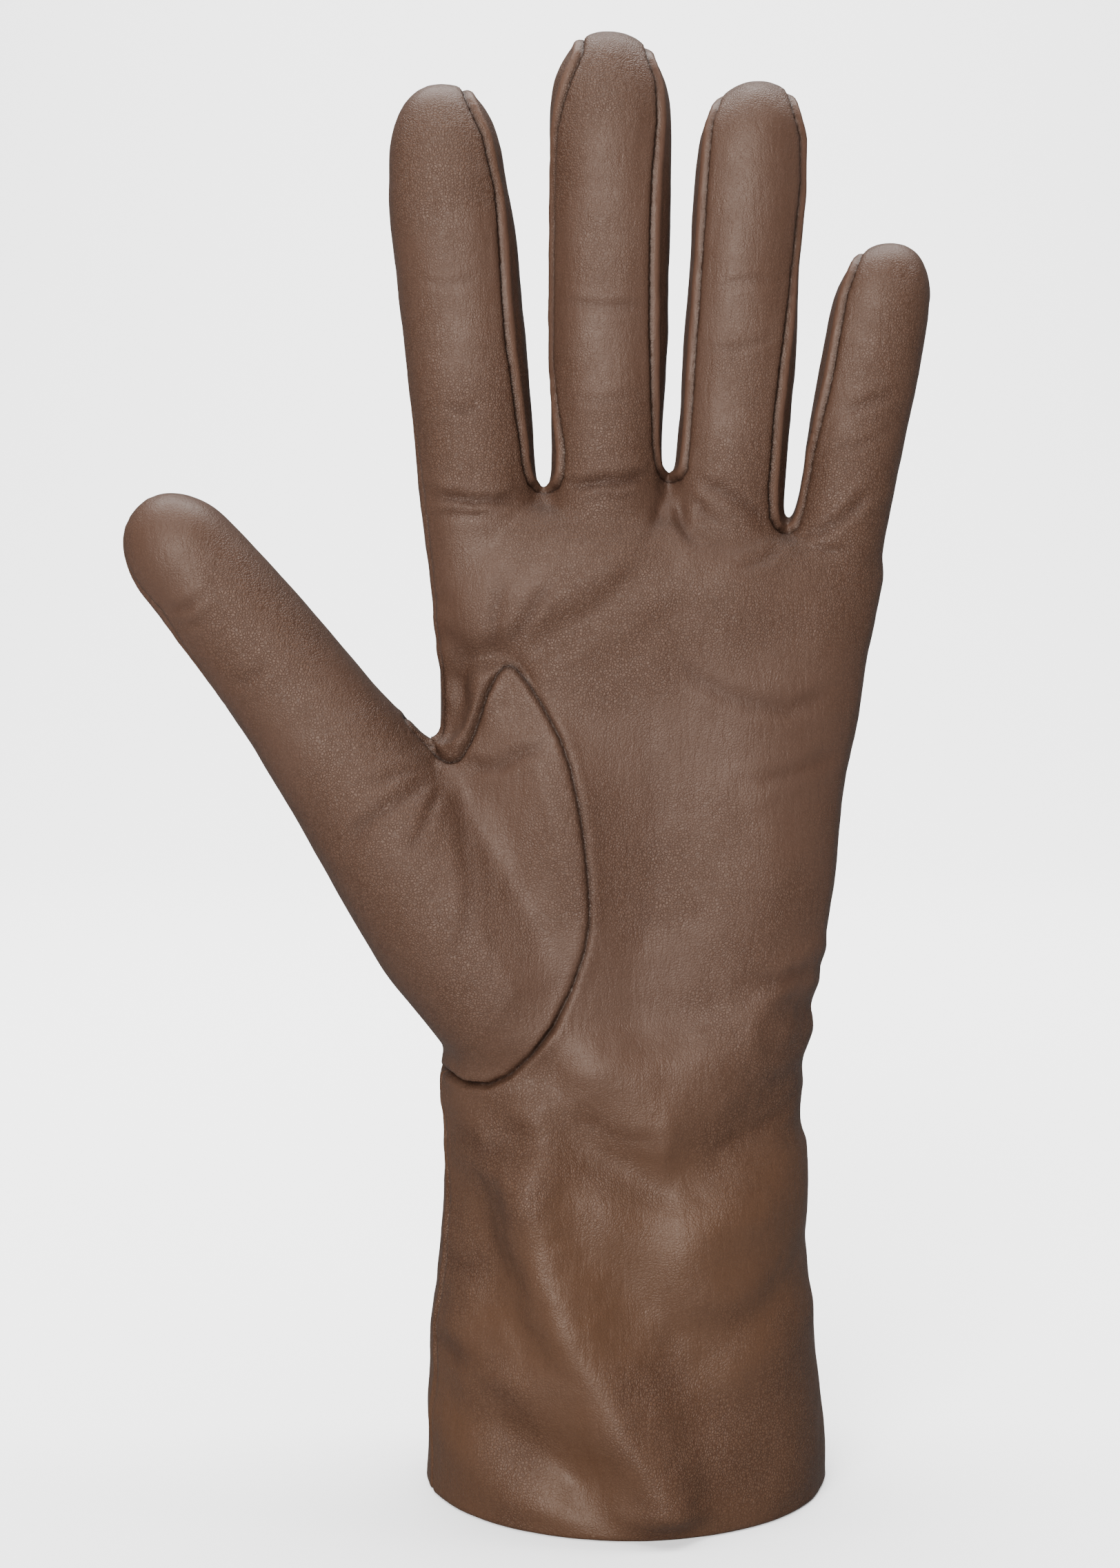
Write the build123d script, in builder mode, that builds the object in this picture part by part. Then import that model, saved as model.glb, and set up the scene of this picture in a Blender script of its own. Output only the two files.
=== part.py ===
"""Left-hand leather dress glove, long cuff, in the shape it takes on a hand.

Millimetres. +Z runs from the cuff opening to the fingertips, the palm faces -Y and the thumb points to -X.
The origin is the centre of the cuff opening, in the plane of the hem.
One folded piece of leather, the trank, makes palm, back and the fronts and backs of the fingers.
Strips called fourchettes make the finger sides, the thumb is a piece of its own, and a knitted lining sits inside.
"""

import os
from math import cos, radians, sin

from build123d import *

# Leather, lining and sewing
LEATHER = 0.9
LINING = 0.7
HEM_FACING_HEIGHT = 16.0
HEM_STITCH_HEIGHT = 13.0
THREAD = 0.6

# Folds between the bodies that move
FOLD_CLEARANCE = 0.3
OPEN_END = 2.0
WRIST_BAND_BOTTOM = 42.0
WRIST_BAND_TOP = 74.0
FINGER_BASE_FOLD = 6.0
FINGER_MID_FOLD = 0.37
FINGER_TIP_FOLD = 0.69

# Cuff and wrist: height, leftmost x, rightmost x, half depth
CUFF_STATIONS = [
    (0.0, -38.4, 38.2, 34.0),
    (20.0, -38.0, 36.4, 30.5),
    (42.0, -36.0, 34.6, 27.0),
    (58.0, -35.0, 34.0, 25.0),
    (74.0, -34.8, 34.0, 23.5),
]
# Hand from the wrist to below the knuckles, same columns
PALM_STATIONS = [
    (74.0, -34.8, 34.0, 23.5),
    (86.0, -35.6, 34.8, 20.5),
    (102.0, -37.0, 38.2, 17.6),
    (126.0, -37.5, 41.4, 16.0),
    (150.0, -37.6, 44.8, 15.0),
    (172.0, -38.2, 49.0, 13.4),
]
# The knuckle line slopes down to the little finger
KNUCKLE_LEFT = (-39.6, 190.5)
KNUCKLE_RIGHT = (51.6, 181.5)
KNUCKLE_HALF_DEPTH = 11.4

# Finger: root on its axis at crotch height (x, z), lean to +X in degrees, length, half width, half depth,
# length of the rounded tip, sides that carry a fourchette
FINGERS = {
    "index": ((-27.8, 193.7), -6.6, 77.2, 11.9, 10.0, 22.0, (1,)),
    "middle": ((-3.6, 195.0), 0.0, 85.3, 11.5, 10.2, 14.0, (-1, 1)),
    "ring": ((20.0, 194.4), 3.9, 77.1, 11.0, 9.7, 16.0, (-1, 1)),
    "little": ((40.4, 184.9), 11.3, 56.0, 9.7, 8.6, 15.0, (-1,)),
}
ROOT_DEPTH = 16.0
ROOT_SPREAD = 1.09
TIP_ANGLES = (25, 45, 62, 76, 86)
FOURCHETTE_HALF_WIDTH = 5.4
CROTCHES = {
    "index_middle": (-15.6, 192.5),
    "middle_ring": (8.2, 192.0),
    "ring_little": (30.2, 184.5),
}
CROTCH_REACH = 9.5
CROTCH_HEIGHT = 26.0

# Thumb: x and z of section centres, half width, half depth
THUMB_LEAN = -38.3
THUMB_ROOT_SECTIONS = [
    (-21.5, 88.0, 11.0, 12.0),
    (-29.5, 103.5, 16.0, 19.0),
    (-39.5, 118.5, 17.0, 18.0),
    (-51.0, 134.3, 14.6, 14.6),
]
THUMB_SECTIONS = [
    (-51.0, 134.3, 14.6, 14.6),
    (-63.8, 149.3, 12.6, 12.0),
    (-77.4, 166.6, 11.6, 10.6),
    (-87.0, 178.5, 10.2, 9.2),
]
THUMB_TIP_LENGTH = 12.5
THUMB_BASE_FOLD = 7.0
THUMB_TIP_FOLD = 45.0
# Seam round the base of the thumb, on the palm, from the crotch over the top and down to the wrist
THUMB_SEAM = [
    (-33.0, 141.5),
    (-28.0, 148.0),
    (-22.0, 156.0),
    (-13.5, 143.5),
    (-8.6, 124.0),
    (-8.0, 106.0),
    (-14.5, 88.0),
    (-22.5, 78.0),
    (-29.5, 75.0),
]
THUMB_OUTSIDE = [(-60.0, 76.0), (-110.0, 110.0), (-70.0, 165.0), (-42.0, 144.5)]
THUMB_BACK_SEAM_X = -37.2
SEAM_STEPS = 24
REACH = 80.0

os.makedirs("parts", exist_ok=True)


def save(part, name):
    """Labels a finished piece and writes it as one STEP file."""
    part.label = name
    export_step(part, f"parts/{name}.step")


def between(stations, height):
    """Left x, right x and half depth at a height between two stations."""
    for low, high in zip(stations, stations[1:]):
        if low[0] <= height <= high[0]:
            share = (height - low[0]) / (high[0] - low[0])
            return [a + share * (b - a) for a, b in zip(low[1:], high[1:])]
    raise ValueError(height)


def oval(plane, left, right, half_depth, inset):
    """Flat-sided oval from left to right of a plane, inset all round."""
    with BuildSketch(plane) as section:
        with Locations(((left + right) / 2, 0)):
            RectangleRounded(
                right - left - 2 * inset,
                2 * (half_depth - inset),
                half_depth - inset - 0.4,
            )
    return section.sketch


def ellipse(plane, half_width, half_depth):
    """Ellipse on a plane."""
    with BuildSketch(plane) as section:
        Ellipse(half_width, half_depth)
    return section.sketch


def tube_between(stations, bottom, top, outer, inner):
    """Wall between two insets of the cuff form, from bottom to top."""
    inside = [s for s in (row[0] for row in stations) if bottom < s < top]
    heights = [bottom, *inside, top]
    rings = [(Plane.XY.offset(height), *between(stations, height)) for height in heights]
    with BuildPart() as wall:
        loft([oval(*ring, outer) for ring in rings], ruled=True)
        loft([oval(*ring, inner) for ring in rings], ruled=True, mode=Mode.SUBTRACT)
    return wall.part


def side_seam_box(plane, start, end, reach):
    """Thin space for the thread that joins palm and back along the outer edge, on the -X side of a plane."""
    with BuildPart() as box:
        with BuildSketch(plane.offset(start)):
            with Locations((-reach / 2, 0)):
                Rectangle(reach, THREAD)
        extrude(amount=end - start)
    return box.part


def split_off(leather, box, name):
    """Saves the thread that lies in the box and returns the leather without it."""
    with BuildPart() as thread:
        add(leather)
        add(box, mode=Mode.INTERSECT)
    save(thread.part, name)
    with BuildPart() as rest:
        add(leather)
        add(box, mode=Mode.SUBTRACT)
    return rest.part


# --- Fingers -------------------------------------------------------------------------------------------------


def finger_frame(root, lean):
    """Plane across a finger at its root: local x across, local y to the back of the hand, z to the tip."""
    turn = radians(lean)
    return Plane(
        origin=(root[0], 0, root[1]),
        x_dir=(cos(turn), 0, -sin(turn)),
        z_dir=(sin(turn), 0, cos(turn)),
    )


def finger_sections(finger, start, end, inset):
    """Heights and half sizes of a finger's sections from start to end; past the tip's shoulder they round off."""
    _, _, length, half_width, half_depth, tip, _ = FINGERS[finger]
    shoulder = length - tip
    sections = []
    for height in (start, min(end, shoulder)):
        spread = 1 + (ROOT_SPREAD - 1) * max(0.0, 1 - (height + ROOT_DEPTH) / (2 * ROOT_DEPTH))
        sections.append((height, half_width * spread - inset, half_depth * spread - inset))
    if end > shoulder:
        for angle in TIP_ANGLES:
            height = shoulder + (tip - inset) * sin(radians(angle))
            scale = cos(radians(angle))
            sections.append((height, (half_width - inset) * scale, (half_depth - inset) * scale))
    return sections


def finger_loft(finger, start, end, inset, mode=Mode.ADD):
    """Lofts part of a finger's form into the open BuildPart."""
    root, lean = FINGERS[finger][:2]
    frame = finger_frame(root, lean)
    sections = finger_sections(finger, start, end, inset)
    loft([ellipse(frame.offset(h), w, d) for h, w, d in sections], ruled=True, mode=mode)


def finger_wall(finger, start, end, outer, inner):
    """Wall of a finger stall between two insets; one that reaches the end closes in the rounded tip."""
    with BuildPart() as wall:
        finger_loft(finger, start, end, outer)
        finger_loft(finger, start, end, inner, Mode.SUBTRACT)
    return wall.part


def fourchette_prism(finger, start):
    """Space the side strips take: level for most of the finger, then narrowing to a point at the tip."""
    root, lean, length, half_width, _, tip, sides = FINGERS[finger]
    frame = finger_frame(root, lean)
    along = Plane(origin=frame.origin, x_dir=frame.y_dir, z_dir=frame.x_dir)
    up = 1 if along.y_dir.dot(frame.z_dir) > 0 else -1
    shoulder = length - tip
    outline = [
        (-FOURCHETTE_HALF_WIDTH, up * start),
        (FOURCHETTE_HALF_WIDTH, up * start),
        (FOURCHETTE_HALF_WIDTH, up * shoulder),
        (0.4, up * (length - 1.5)),
        (-0.4, up * (length - 1.5)),
        (-FOURCHETTE_HALF_WIDTH, up * shoulder),
    ]
    with BuildPart() as prism:
        for side in sides:
            with BuildSketch(along):
                Polygon(*outline, align=None)
            extrude(amount=side * 2 * half_width)
    return prism.part


def make_finger(finger):
    """The stall's three stretches, each with its trank tongues, fourchettes and lining."""
    length = FINGERS[finger][2]
    base, mid, tip = FINGER_BASE_FOLD, FINGER_MID_FOLD * length, FINGER_TIP_FOLD * length
    half_gap = FOLD_CLEARANCE / 2
    stretches = {
        "base": (base + half_gap, mid - half_gap),
        "mid": (mid + half_gap, tip - half_gap),
        "tip": (tip + half_gap, length),
    }
    prism = fourchette_prism(finger, 0)
    for stretch, (start, end) in stretches.items():
        leather = finger_wall(finger, start, end, 0, LEATHER)
        with BuildPart() as trank:
            add(leather)
            add(prism, mode=Mode.SUBTRACT)
        with BuildPart() as fourchette:
            add(leather)
            add(prism, mode=Mode.INTERSECT)
        tongues = trank.part
        if finger == "index":
            edge = side_seam_box(finger_frame(*FINGERS[finger][:2]), start, end, REACH)
            tongues = split_off(tongues, edge, f"{finger}_{stretch}_side_thread")
        save(tongues, f"{finger}_{stretch}_trank")
        save(fourchette.part, f"{finger}_{stretch}_fourchette")
        save(
            finger_wall(finger, start, end, LEATHER, LEATHER + LINING),
            f"{finger}_{stretch}_lining",
        )


# --- Thumb ---------------------------------------------------------------------------------------------------


def thumb_plane(x, z):
    """Plane across the thumb at a section centre."""
    return finger_frame((x, z), THUMB_LEAN)


def thumb_height(x, z):
    """Distance along the thumb from the first section of its free length."""
    x0, z0 = THUMB_SECTIONS[0][:2]
    turn = radians(THUMB_LEAN)
    return (x - x0) * sin(turn) + (z - z0) * cos(turn)


def thumb_section(height):
    """Centre and half sizes of the thumb at a height along it."""
    rows = [(thumb_height(x, z), x, z, w, d) for x, z, w, d in THUMB_SECTIONS]
    for low, high in zip(rows, rows[1:]):
        if low[0] <= height <= high[0] + 1e-6:
            share = (height - low[0]) / (high[0] - low[0])
            return [a + share * (b - a) for a, b in zip(low[1:], high[1:])]
    raise ValueError(height)


def thumb_loft(start, end, inset, mode=Mode.ADD):
    """Lofts part of the free thumb into the open BuildPart; past the last centre it rounds off."""
    shoulder = thumb_height(*THUMB_SECTIONS[-1][:2])
    last = min(end, shoulder)
    stops = [thumb_height(x, z) for x, z, _, _ in THUMB_SECTIONS]
    heights = [start, *[h for h in stops if start + 1 < h < last - 1], last]
    sections = []
    for height in heights:
        x, z, half_width, half_depth = thumb_section(height)
        sections.append(ellipse(thumb_plane(x, z), half_width - inset, half_depth - inset))
    if end > shoulder:
        for angle in TIP_ANGLES:
            tip_plane = thumb_plane(x, z).offset((THUMB_TIP_LENGTH - inset) * sin(radians(angle)))
            scale = cos(radians(angle))
            sections.append(ellipse(tip_plane, (half_width - inset) * scale, (half_depth - inset) * scale))
    loft(sections, ruled=True, mode=mode)


def thumb_wall(start, end, outer, inner):
    """Wall of the thumb between two insets."""
    with BuildPart() as wall:
        thumb_loft(start, end, outer)
        thumb_loft(start, end, inner, Mode.SUBTRACT)
    return wall.part


def make_thumb():
    """The thumb's two free stretches, each with leather and lining."""
    half_gap = FOLD_CLEARANCE / 2
    end = thumb_height(*THUMB_SECTIONS[-1][:2]) + THUMB_TIP_LENGTH
    stretches = {
        "base": (THUMB_BASE_FOLD + half_gap, THUMB_TIP_FOLD - half_gap),
        "tip": (THUMB_TIP_FOLD + half_gap, end),
    }
    for stretch, (start, stop) in stretches.items():
        save(thumb_wall(start, stop, 0, LEATHER), f"thumb_{stretch}_leather")
        save(thumb_wall(start, stop, LEATHER, LEATHER + LINING), f"thumb_{stretch}_lining")


# --- Hand ----------------------------------------------------------------------------------------------------


def knuckle_plane(inset):
    """Sloping plane that closes the hand between the fingers."""
    (x0, z0), (x1, z1) = KNUCKLE_LEFT, KNUCKLE_RIGHT
    return Plane(
        origin=((x0 + x1) / 2, 0, (z0 + z1) / 2),
        x_dir=(x1 - x0, 0, z1 - z0),
        z_dir=(z0 - z1, 0, x1 - x0),
    ).offset(-inset)


def hand_form(inset, overrun):
    """Solid form of the hand with its finger and thumb roots, inset all round.

    A form that is cut out of a wider one overruns the wrist and the folds, so that they stay open.
    """
    half_gap = FOLD_CLEARANCE / 2
    half_knuckles = (KNUCKLE_RIGHT[0] - KNUCKLE_LEFT[0]) / 2
    palm = []
    for number, (height, left, right, half_depth) in enumerate(PALM_STATIONS):
        drop = overrun if number == 0 else 0
        palm.append(oval(Plane.XY.offset(height - drop), left, right, half_depth, inset))
    palm.append(oval(knuckle_plane(inset), -half_knuckles, half_knuckles, KNUCKLE_HALF_DEPTH, inset))
    thumb_root = [ellipse(thumb_plane(x, z), w - inset, d - inset) for x, z, w, d in THUMB_ROOT_SECTIONS]
    with BuildPart() as form:
        loft(palm, ruled=True)
        for finger in FINGERS:
            finger_loft(finger, -ROOT_DEPTH, FINGER_BASE_FOLD - half_gap + overrun, inset)
        loft(thumb_root, ruled=True)
        thumb_loft(0, THUMB_BASE_FOLD - half_gap + overrun, inset)
    return form.part


def thumb_prism(growth):
    """Space taken by the thumb's piece: inside its seam on the palm, outside the hand's edge on the back."""
    with BuildPart() as prism:
        with BuildSketch(Plane.XZ) as front:
            with BuildLine():
                seam = Spline(*THUMB_SEAM, mode=Mode.PRIVATE)
                points = [seam @ (step / SEAM_STEPS) for step in range(SEAM_STEPS + 1)]
                Polyline(*points, *THUMB_OUTSIDE, close=True)
            make_face()
            if growth:
                offset(amount=growth)
        extrude(amount=REACH)
        with BuildSketch(Plane.XZ):
            add(front.sketch_local)
            with Locations((THUMB_BACK_SEAM_X + growth + REACH, 0)):
                Rectangle(2 * REACH, 8 * REACH, mode=Mode.SUBTRACT)
        extrude(amount=-REACH)
    return prism.part


def crotch_box(centre):
    """Space that a joined pair of fourchettes takes where it turns between two fingers."""
    with BuildPart() as box:
        with Locations((centre[0], 0, centre[1])):
            Box(2 * CROTCH_REACH, 2 * FOURCHETTE_HALF_WIDTH, CROTCH_HEIGHT)
    return box.part


def make_hand():
    """The hand's leather, cut along its seams, with its lining and the thread of its seams."""
    outer = hand_form(0, 0)
    middle = hand_form(LEATHER, OPEN_END)
    inner = hand_form(LEATHER + LINING, 2 * OPEN_END)
    with BuildPart() as leather:
        add(outer)
        add(middle, mode=Mode.SUBTRACT)
    with BuildPart() as lining:
        add(outer)
        add(middle, mode=Mode.INTERSECT)
        add(inner, mode=Mode.SUBTRACT)
    save(lining.part, "hand_lining")

    inside_seam = thumb_prism(-THREAD / 2)
    outside_seam = thumb_prism(THREAD / 2)
    with BuildPart() as thumb_root:
        add(leather.part)
        add(inside_seam, mode=Mode.INTERSECT)
    save(thumb_root.part, "thumb_root_leather")
    with BuildPart() as thumb_thread:
        add(leather.part)
        add(outside_seam, mode=Mode.INTERSECT)
        add(inside_seam, mode=Mode.SUBTRACT)
    save(thumb_thread.part, "thumb_seam_thread")

    with BuildPart() as trank:
        add(leather.part)
        add(outside_seam, mode=Mode.SUBTRACT)
        for centre in CROTCHES.values():
            add(crotch_box(centre), mode=Mode.SUBTRACT)
    edge = side_seam_box(Plane.XY, PALM_STATIONS[0][0], KNUCKLE_LEFT[1] + CROTCH_HEIGHT, REACH)
    save(split_off(trank.part, edge, "hand_side_thread"), "hand_trank")

    for gap, centre in CROTCHES.items():
        with BuildPart() as crotch:
            add(leather.part)
            add(crotch_box(centre), mode=Mode.INTERSECT)
        save(crotch.part, f"{gap}_crotch_fourchette")


def make_cuff():
    """Cuff and wrist: leather, lining and the hem turned up inside."""
    stations = CUFF_STATIONS
    facing_top = HEM_FACING_HEIGHT
    cuff = tube_between(stations, 0, WRIST_BAND_BOTTOM, 0, LEATHER)
    edge = side_seam_box(Plane.XY, 0, WRIST_BAND_TOP, REACH)
    save(split_off(cuff, edge, "cuff_side_thread"), "cuff_trank")
    save(tube_between(stations, 0, facing_top, LEATHER, 2 * LEATHER), "hem_facing")
    save(
        tube_between(stations, facing_top, WRIST_BAND_BOTTOM, LEATHER, LEATHER + LINING),
        "cuff_lining",
    )
    stitch = HEM_STITCH_HEIGHT
    save(tube_between(stations, stitch, stitch + THREAD, 2 * LEATHER, 2 * LEATHER + THREAD), "hem_thread")
    wrist = tube_between(stations, WRIST_BAND_BOTTOM, WRIST_BAND_TOP, 0, LEATHER)
    save(split_off(wrist, edge, "wrist_side_thread"), "wrist_trank")
    save(
        tube_between(stations, WRIST_BAND_BOTTOM, WRIST_BAND_TOP, LEATHER, LEATHER + LINING),
        "wrist_lining",
    )


for finger in FINGERS:
    make_finger(finger)
make_thumb()
make_hand()
make_cuff()
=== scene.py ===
import math

import bmesh
import bpy
import numpy as np
from mathutils import Matrix, Vector, kdtree, noise


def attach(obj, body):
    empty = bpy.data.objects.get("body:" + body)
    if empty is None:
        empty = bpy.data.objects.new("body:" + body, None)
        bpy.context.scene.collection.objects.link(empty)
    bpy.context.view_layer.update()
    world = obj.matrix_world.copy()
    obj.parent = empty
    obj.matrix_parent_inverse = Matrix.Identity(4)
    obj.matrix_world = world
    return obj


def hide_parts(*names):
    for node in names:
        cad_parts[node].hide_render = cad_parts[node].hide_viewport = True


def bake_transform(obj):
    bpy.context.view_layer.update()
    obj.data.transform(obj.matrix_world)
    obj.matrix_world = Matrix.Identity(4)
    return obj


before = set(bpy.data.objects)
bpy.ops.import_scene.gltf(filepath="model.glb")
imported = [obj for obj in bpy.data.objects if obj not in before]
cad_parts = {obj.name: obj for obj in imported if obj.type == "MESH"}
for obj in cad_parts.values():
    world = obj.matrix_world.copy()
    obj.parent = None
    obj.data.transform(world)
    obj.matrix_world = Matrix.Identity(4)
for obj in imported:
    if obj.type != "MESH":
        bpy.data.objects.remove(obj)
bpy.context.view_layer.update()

# Left-hand leather dress glove, standing on its hem with the palm towards -Y.
# Shapes are worked in millimetres and brought to metres when a piece is finished.
MM = 0.001
GRID = 0.85
LINING_GRID = 1.9
SKIN_ROUNDS, ROOT_ROUNDS, CORNER_ROUNDS = 14, 90, 12
LINING_ROUNDS, LINING_ROOT_ROUNDS, LINING_INSET, LINING_START = 4, 20, 2.4, 15
PITCH = 2.2
FINGERS_ABOVE, THUMB_BESIDE, THUMB_BELOW = 176, -37.5, 195
HEM_HEIGHT, HEM_SEWN, HEM_INSIDE = 0.7, 13.0, 3.2
VIEW_DISTANCE = 450.0
VIEW_HEIGHT, VIEW_MIDDLE = 0.3013, 0.1322
VIEW_CENTRE = (-12.6, 168.0)

# --- Form of the hand inside the glove ---

# Cuff, wrist and palm: height, leftmost x, rightmost x, half depth, squareness of the section
BODY_ROWS = [
    (-8, -38.6, 38.6, 35, 2),
    (0, -38.4, 38.2, 33.8, 2),
    (13, -37.6, 37.4, 31.6, 2.1),
    (23, -37.2, 36.3, 30, 2.1),
    (34, -36.2, 35.4, 28.4, 2.1),
    (44, -35.2, 34.6, 26.8, 2.1),
    (55, -34.4, 34, 25.2, 2.1),
    (66, -34.2, 33.8, 24.2, 2.2),
    (76, -34.4, 33.9, 22.6, 2.3),
    (87, -35, 34.4, 20, 2.4),
    (97, -35.6, 36.8, 18, 2.5),
    (113, -36, 39.6, 16.4, 2.6),
    (134, -35.8, 42.1, 15.6, 2.6),
    (145, -35.8, 44.3, 15, 2.6),
    (156, -36.2, 45.7, 14.4, 2.6),
    (166, -37, 47.6, 13.6, 2.6),
    (174, -37.6, 49, 12.6, 2.6),
    (179, -38.2, 49.8, 11.2, 2.5),
    (182.5, -37.4, 49, 9, 2.4),
]
TOP_TILT = -0.13
# Fingers: height, centre x, width, half depth; the last row is the point of the tip
FINGER_ROWS = {
    "index": [
        (160, -25.5, 20, 8),
        (176, -26.8, 22.6, 9.8),
        (190, -28.4, 22.8, 10.4),
        (206, -29.7, 23, 10.2),
        (218, -30.9, 23.4, 10),
        (230, -32.1, 23.9, 10),
        (242, -33.5, 23.8, 9.9),
        (250, -34.2, 22.2, 9.4),
        (266.7, -35.3, 0, 0),
    ],
    "middle": [
        (160, -3, 20, 8),
        (178, -3.3, 22.4, 10),
        (196, -3.7, 21.4, 10.6),
        (210, -3.3, 22.2, 10.3),
        (230, -3.1, 23.1, 10.2),
        (250, -2.9, 23.4, 10.1),
        (261, -2.9, 23.3, 9.8),
        (276.8, -3.3, 0, 0),
    ],
    "ring": [
        (160, 16.5, 20, 8),
        (178, 18.6, 22.2, 9.8),
        (198, 20.5, 21.3, 10.2),
        (214, 21.8, 21.8, 9.8),
        (230, 22.7, 21.3, 9.6),
        (246, 24, 21.9, 9.6),
        (253, 24.4, 21.2, 9.2),
        (267.2, 25.4, 0, 0),
    ],
    "little": [
        (156, 35.5, 18, 7),
        (172, 38.2, 20.3, 8.8),
        (186, 42, 18.2, 9.2),
        (198, 44.3, 18.8, 8.8),
        (214, 47.2, 19.3, 8.6),
        (222, 48.6, 19, 8.3),
        (236.2, 50.9, 0, 0),
    ],
}
# Thumb: x and z of section centres, half width, half depth, centre's y
THUMB_ROWS = [
    (-14, 78, 8, 12, -4),
    (-22.5, 90, 13.5, 17.5, -4),
    (-30.5, 104, 16.6, 18.6, -3.2),
    (-40, 118.5, 16.4, 17.4, -2.2),
    (-51, 133.4, 14.6, 14.8, -1.2),
    (-59.4, 144.6, 13, 12.8, -0.5),
    (-67.8, 155.6, 12.2, 11.6, 0),
    (-77.4, 167.6, 11.6, 10.8, 0),
    (-83.6, 174.8, 11, 10.2, 0),
    (-93.2, 186.2, 0, 0, 0),
]
# Leather stretched across the bottom of each gap: centre x, y, z and radii
WEBS = [
    ((-15.4, 0, 178.6), (6.5, 8.4, 10)),
    ((8.6, 0, 179.4), (6.5, 8.2, 10)),
    ((30.8, 0, 171.4), (6, 7.6, 9.6)),
    ((-33, 0, 129), (7, 9, 8)),
]
# Gentle swellings (plus) and hollows (minus): x, z, side (-1 palm, 1 back), radius in x, radius in z, height
SWELLS = [
    (-11, 110, -1, 9, 22, 3.8),
    (-17, 132, -1, 9, 13, 2.4),
    (27, 112, -1, 14, 26, 2.2),
    (6, 132, -1, 18, 26, -1.2),
    (-26, 168, -1, 11, 9, 1.2),
    (-3, 172, -1, 10, 9, 1.2),
    (20, 170, -1, 10, 9, 1.2),
    (38, 160, -1, 9, 11, 1),
    (6, 84, -1, 24, 12, -1.6),
    (-26, 186, 1, 9, 9, 1.6),
    (-3, 188, 1, 9, 9, 1.9),
    (20, 186, 1, 9, 9, 1.6),
    (40, 176, 1, 8, 8, 1.2),
    (4, 140, 1, 30, 40, 1.6),
]

# Bodies of the frame: root of each finger on its axis (x, z), lean in degrees, length
FINGER_FRAMES = {
    "index": ((-27.8, 193.7), -6.6, 77.2),
    "middle": ((-3.6, 195.0), 0.0, 85.3),
    "ring": ((20.0, 194.4), 3.9, 77.1),
    "little": ((40.4, 184.9), 11.3, 56.0),
}
FINGER_START = {"index": 0.5, "middle": 0.5, "ring": 0.5, "little": 1.5}
BASE_FOLD = 6.0
MID_FOLD, TIP_FOLD = 0.37, 0.69
BEND_REACH = 9.0
GAP_LINES = [(-15.3, 190.0, -0.05), (8.6, 190.0, 0.06), (30.9, 186.0, 0.14)]
THUMB_ROOT = (-51.0, 134.3)
THUMB_LEAN = -38.3
THUMB_HOLLOW = [(-27, 137), (-20, 114), (-10, 94), (-22, 80)]
THUMB_CORNER = (-40.3, 141.1)
THUMB_START, THUMB_MIDDLE = 1.0, 26.0
THUMB_BASE_FOLD, THUMB_TIP_FOLD = 7.0, 45.0
WRIST_BEND = (44.0, 72.5)


def rail(rows, steps):
    """Rows spaced evenly along a smooth curve through the given rows, keyed by their first number."""
    rows = np.array(rows, float)
    keys = rows[:, 0]
    slope = np.gradient(rows, keys, axis=0)
    out = []
    for key in np.linspace(keys[0], keys[-1], steps):
        i = min(len(keys) - 2, max(0, int(np.searchsorted(keys, key, side="right")) - 1))
        span = keys[i + 1] - keys[i]
        t = (key - keys[i]) / span
        a, b = 2 * t**3 - 3 * t**2 + 1, t**3 - 2 * t**2 + t
        c, d = 3 * t**2 - 2 * t**3, t**3 - t**2
        out.append(a * rows[i] + b * span * slope[i] + c * rows[i + 1] + d * span * slope[i + 1])
    return np.array(out)


def grow(bm, count, place, around=56):
    """Extrudes a ring count times; place(step, turn) puts each point of a ring."""
    turn = bm.verts.layers.float.get("turn") or bm.verts.layers.float.new("turn")
    ring = bmesh.ops.create_circle(bm, cap_ends=True, segments=around, radius=1.0)["verts"]
    for v in ring:
        v[turn] = math.atan2(v.co.y, v.co.x)
        v.co = place(0, v[turn])
    edges = list(dict.fromkeys(e for v in ring for e in v.link_edges))
    for step in range(1, count):
        made = bmesh.ops.extrude_edge_only(bm, edges=edges)["geom"]
        fresh = {g for g in made if isinstance(g, bmesh.types.BMVert)}
        for v in fresh:
            v.co = place(step, v[turn])
        edges = [g for g in made if isinstance(g, bmesh.types.BMEdge) and set(g.verts) <= fresh]
    bmesh.ops.contextual_create(bm, geom=edges)


def corner(turn, half_width, half_depth, squareness):
    """Point of a rounded section at an angle."""
    c, s = math.cos(turn), math.sin(turn)
    power = 2.0 / squareness
    return (
        half_width * math.copysign(abs(c) ** power, c),
        half_depth * math.copysign(abs(s) ** power, s),
    )


def body_form(bm, inset):
    """Cuff, wrist and palm as one tube, its top sloping down to the little finger."""
    rows = rail(BODY_ROWS, 74)

    def place(step, turn):
        z, left, right, half_depth, squareness = rows[step]
        x, y = corner(turn, (right - left) / 2 - inset, half_depth - inset, squareness)
        x += (left + right) / 2
        tilt = TOP_TILT * min(1.0, max(0.0, (z - 140) / 40))
        return Vector((x, y, z + tilt * (x - 2) - inset * step / len(rows)))

    grow(bm, len(rows), place, 72)


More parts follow.
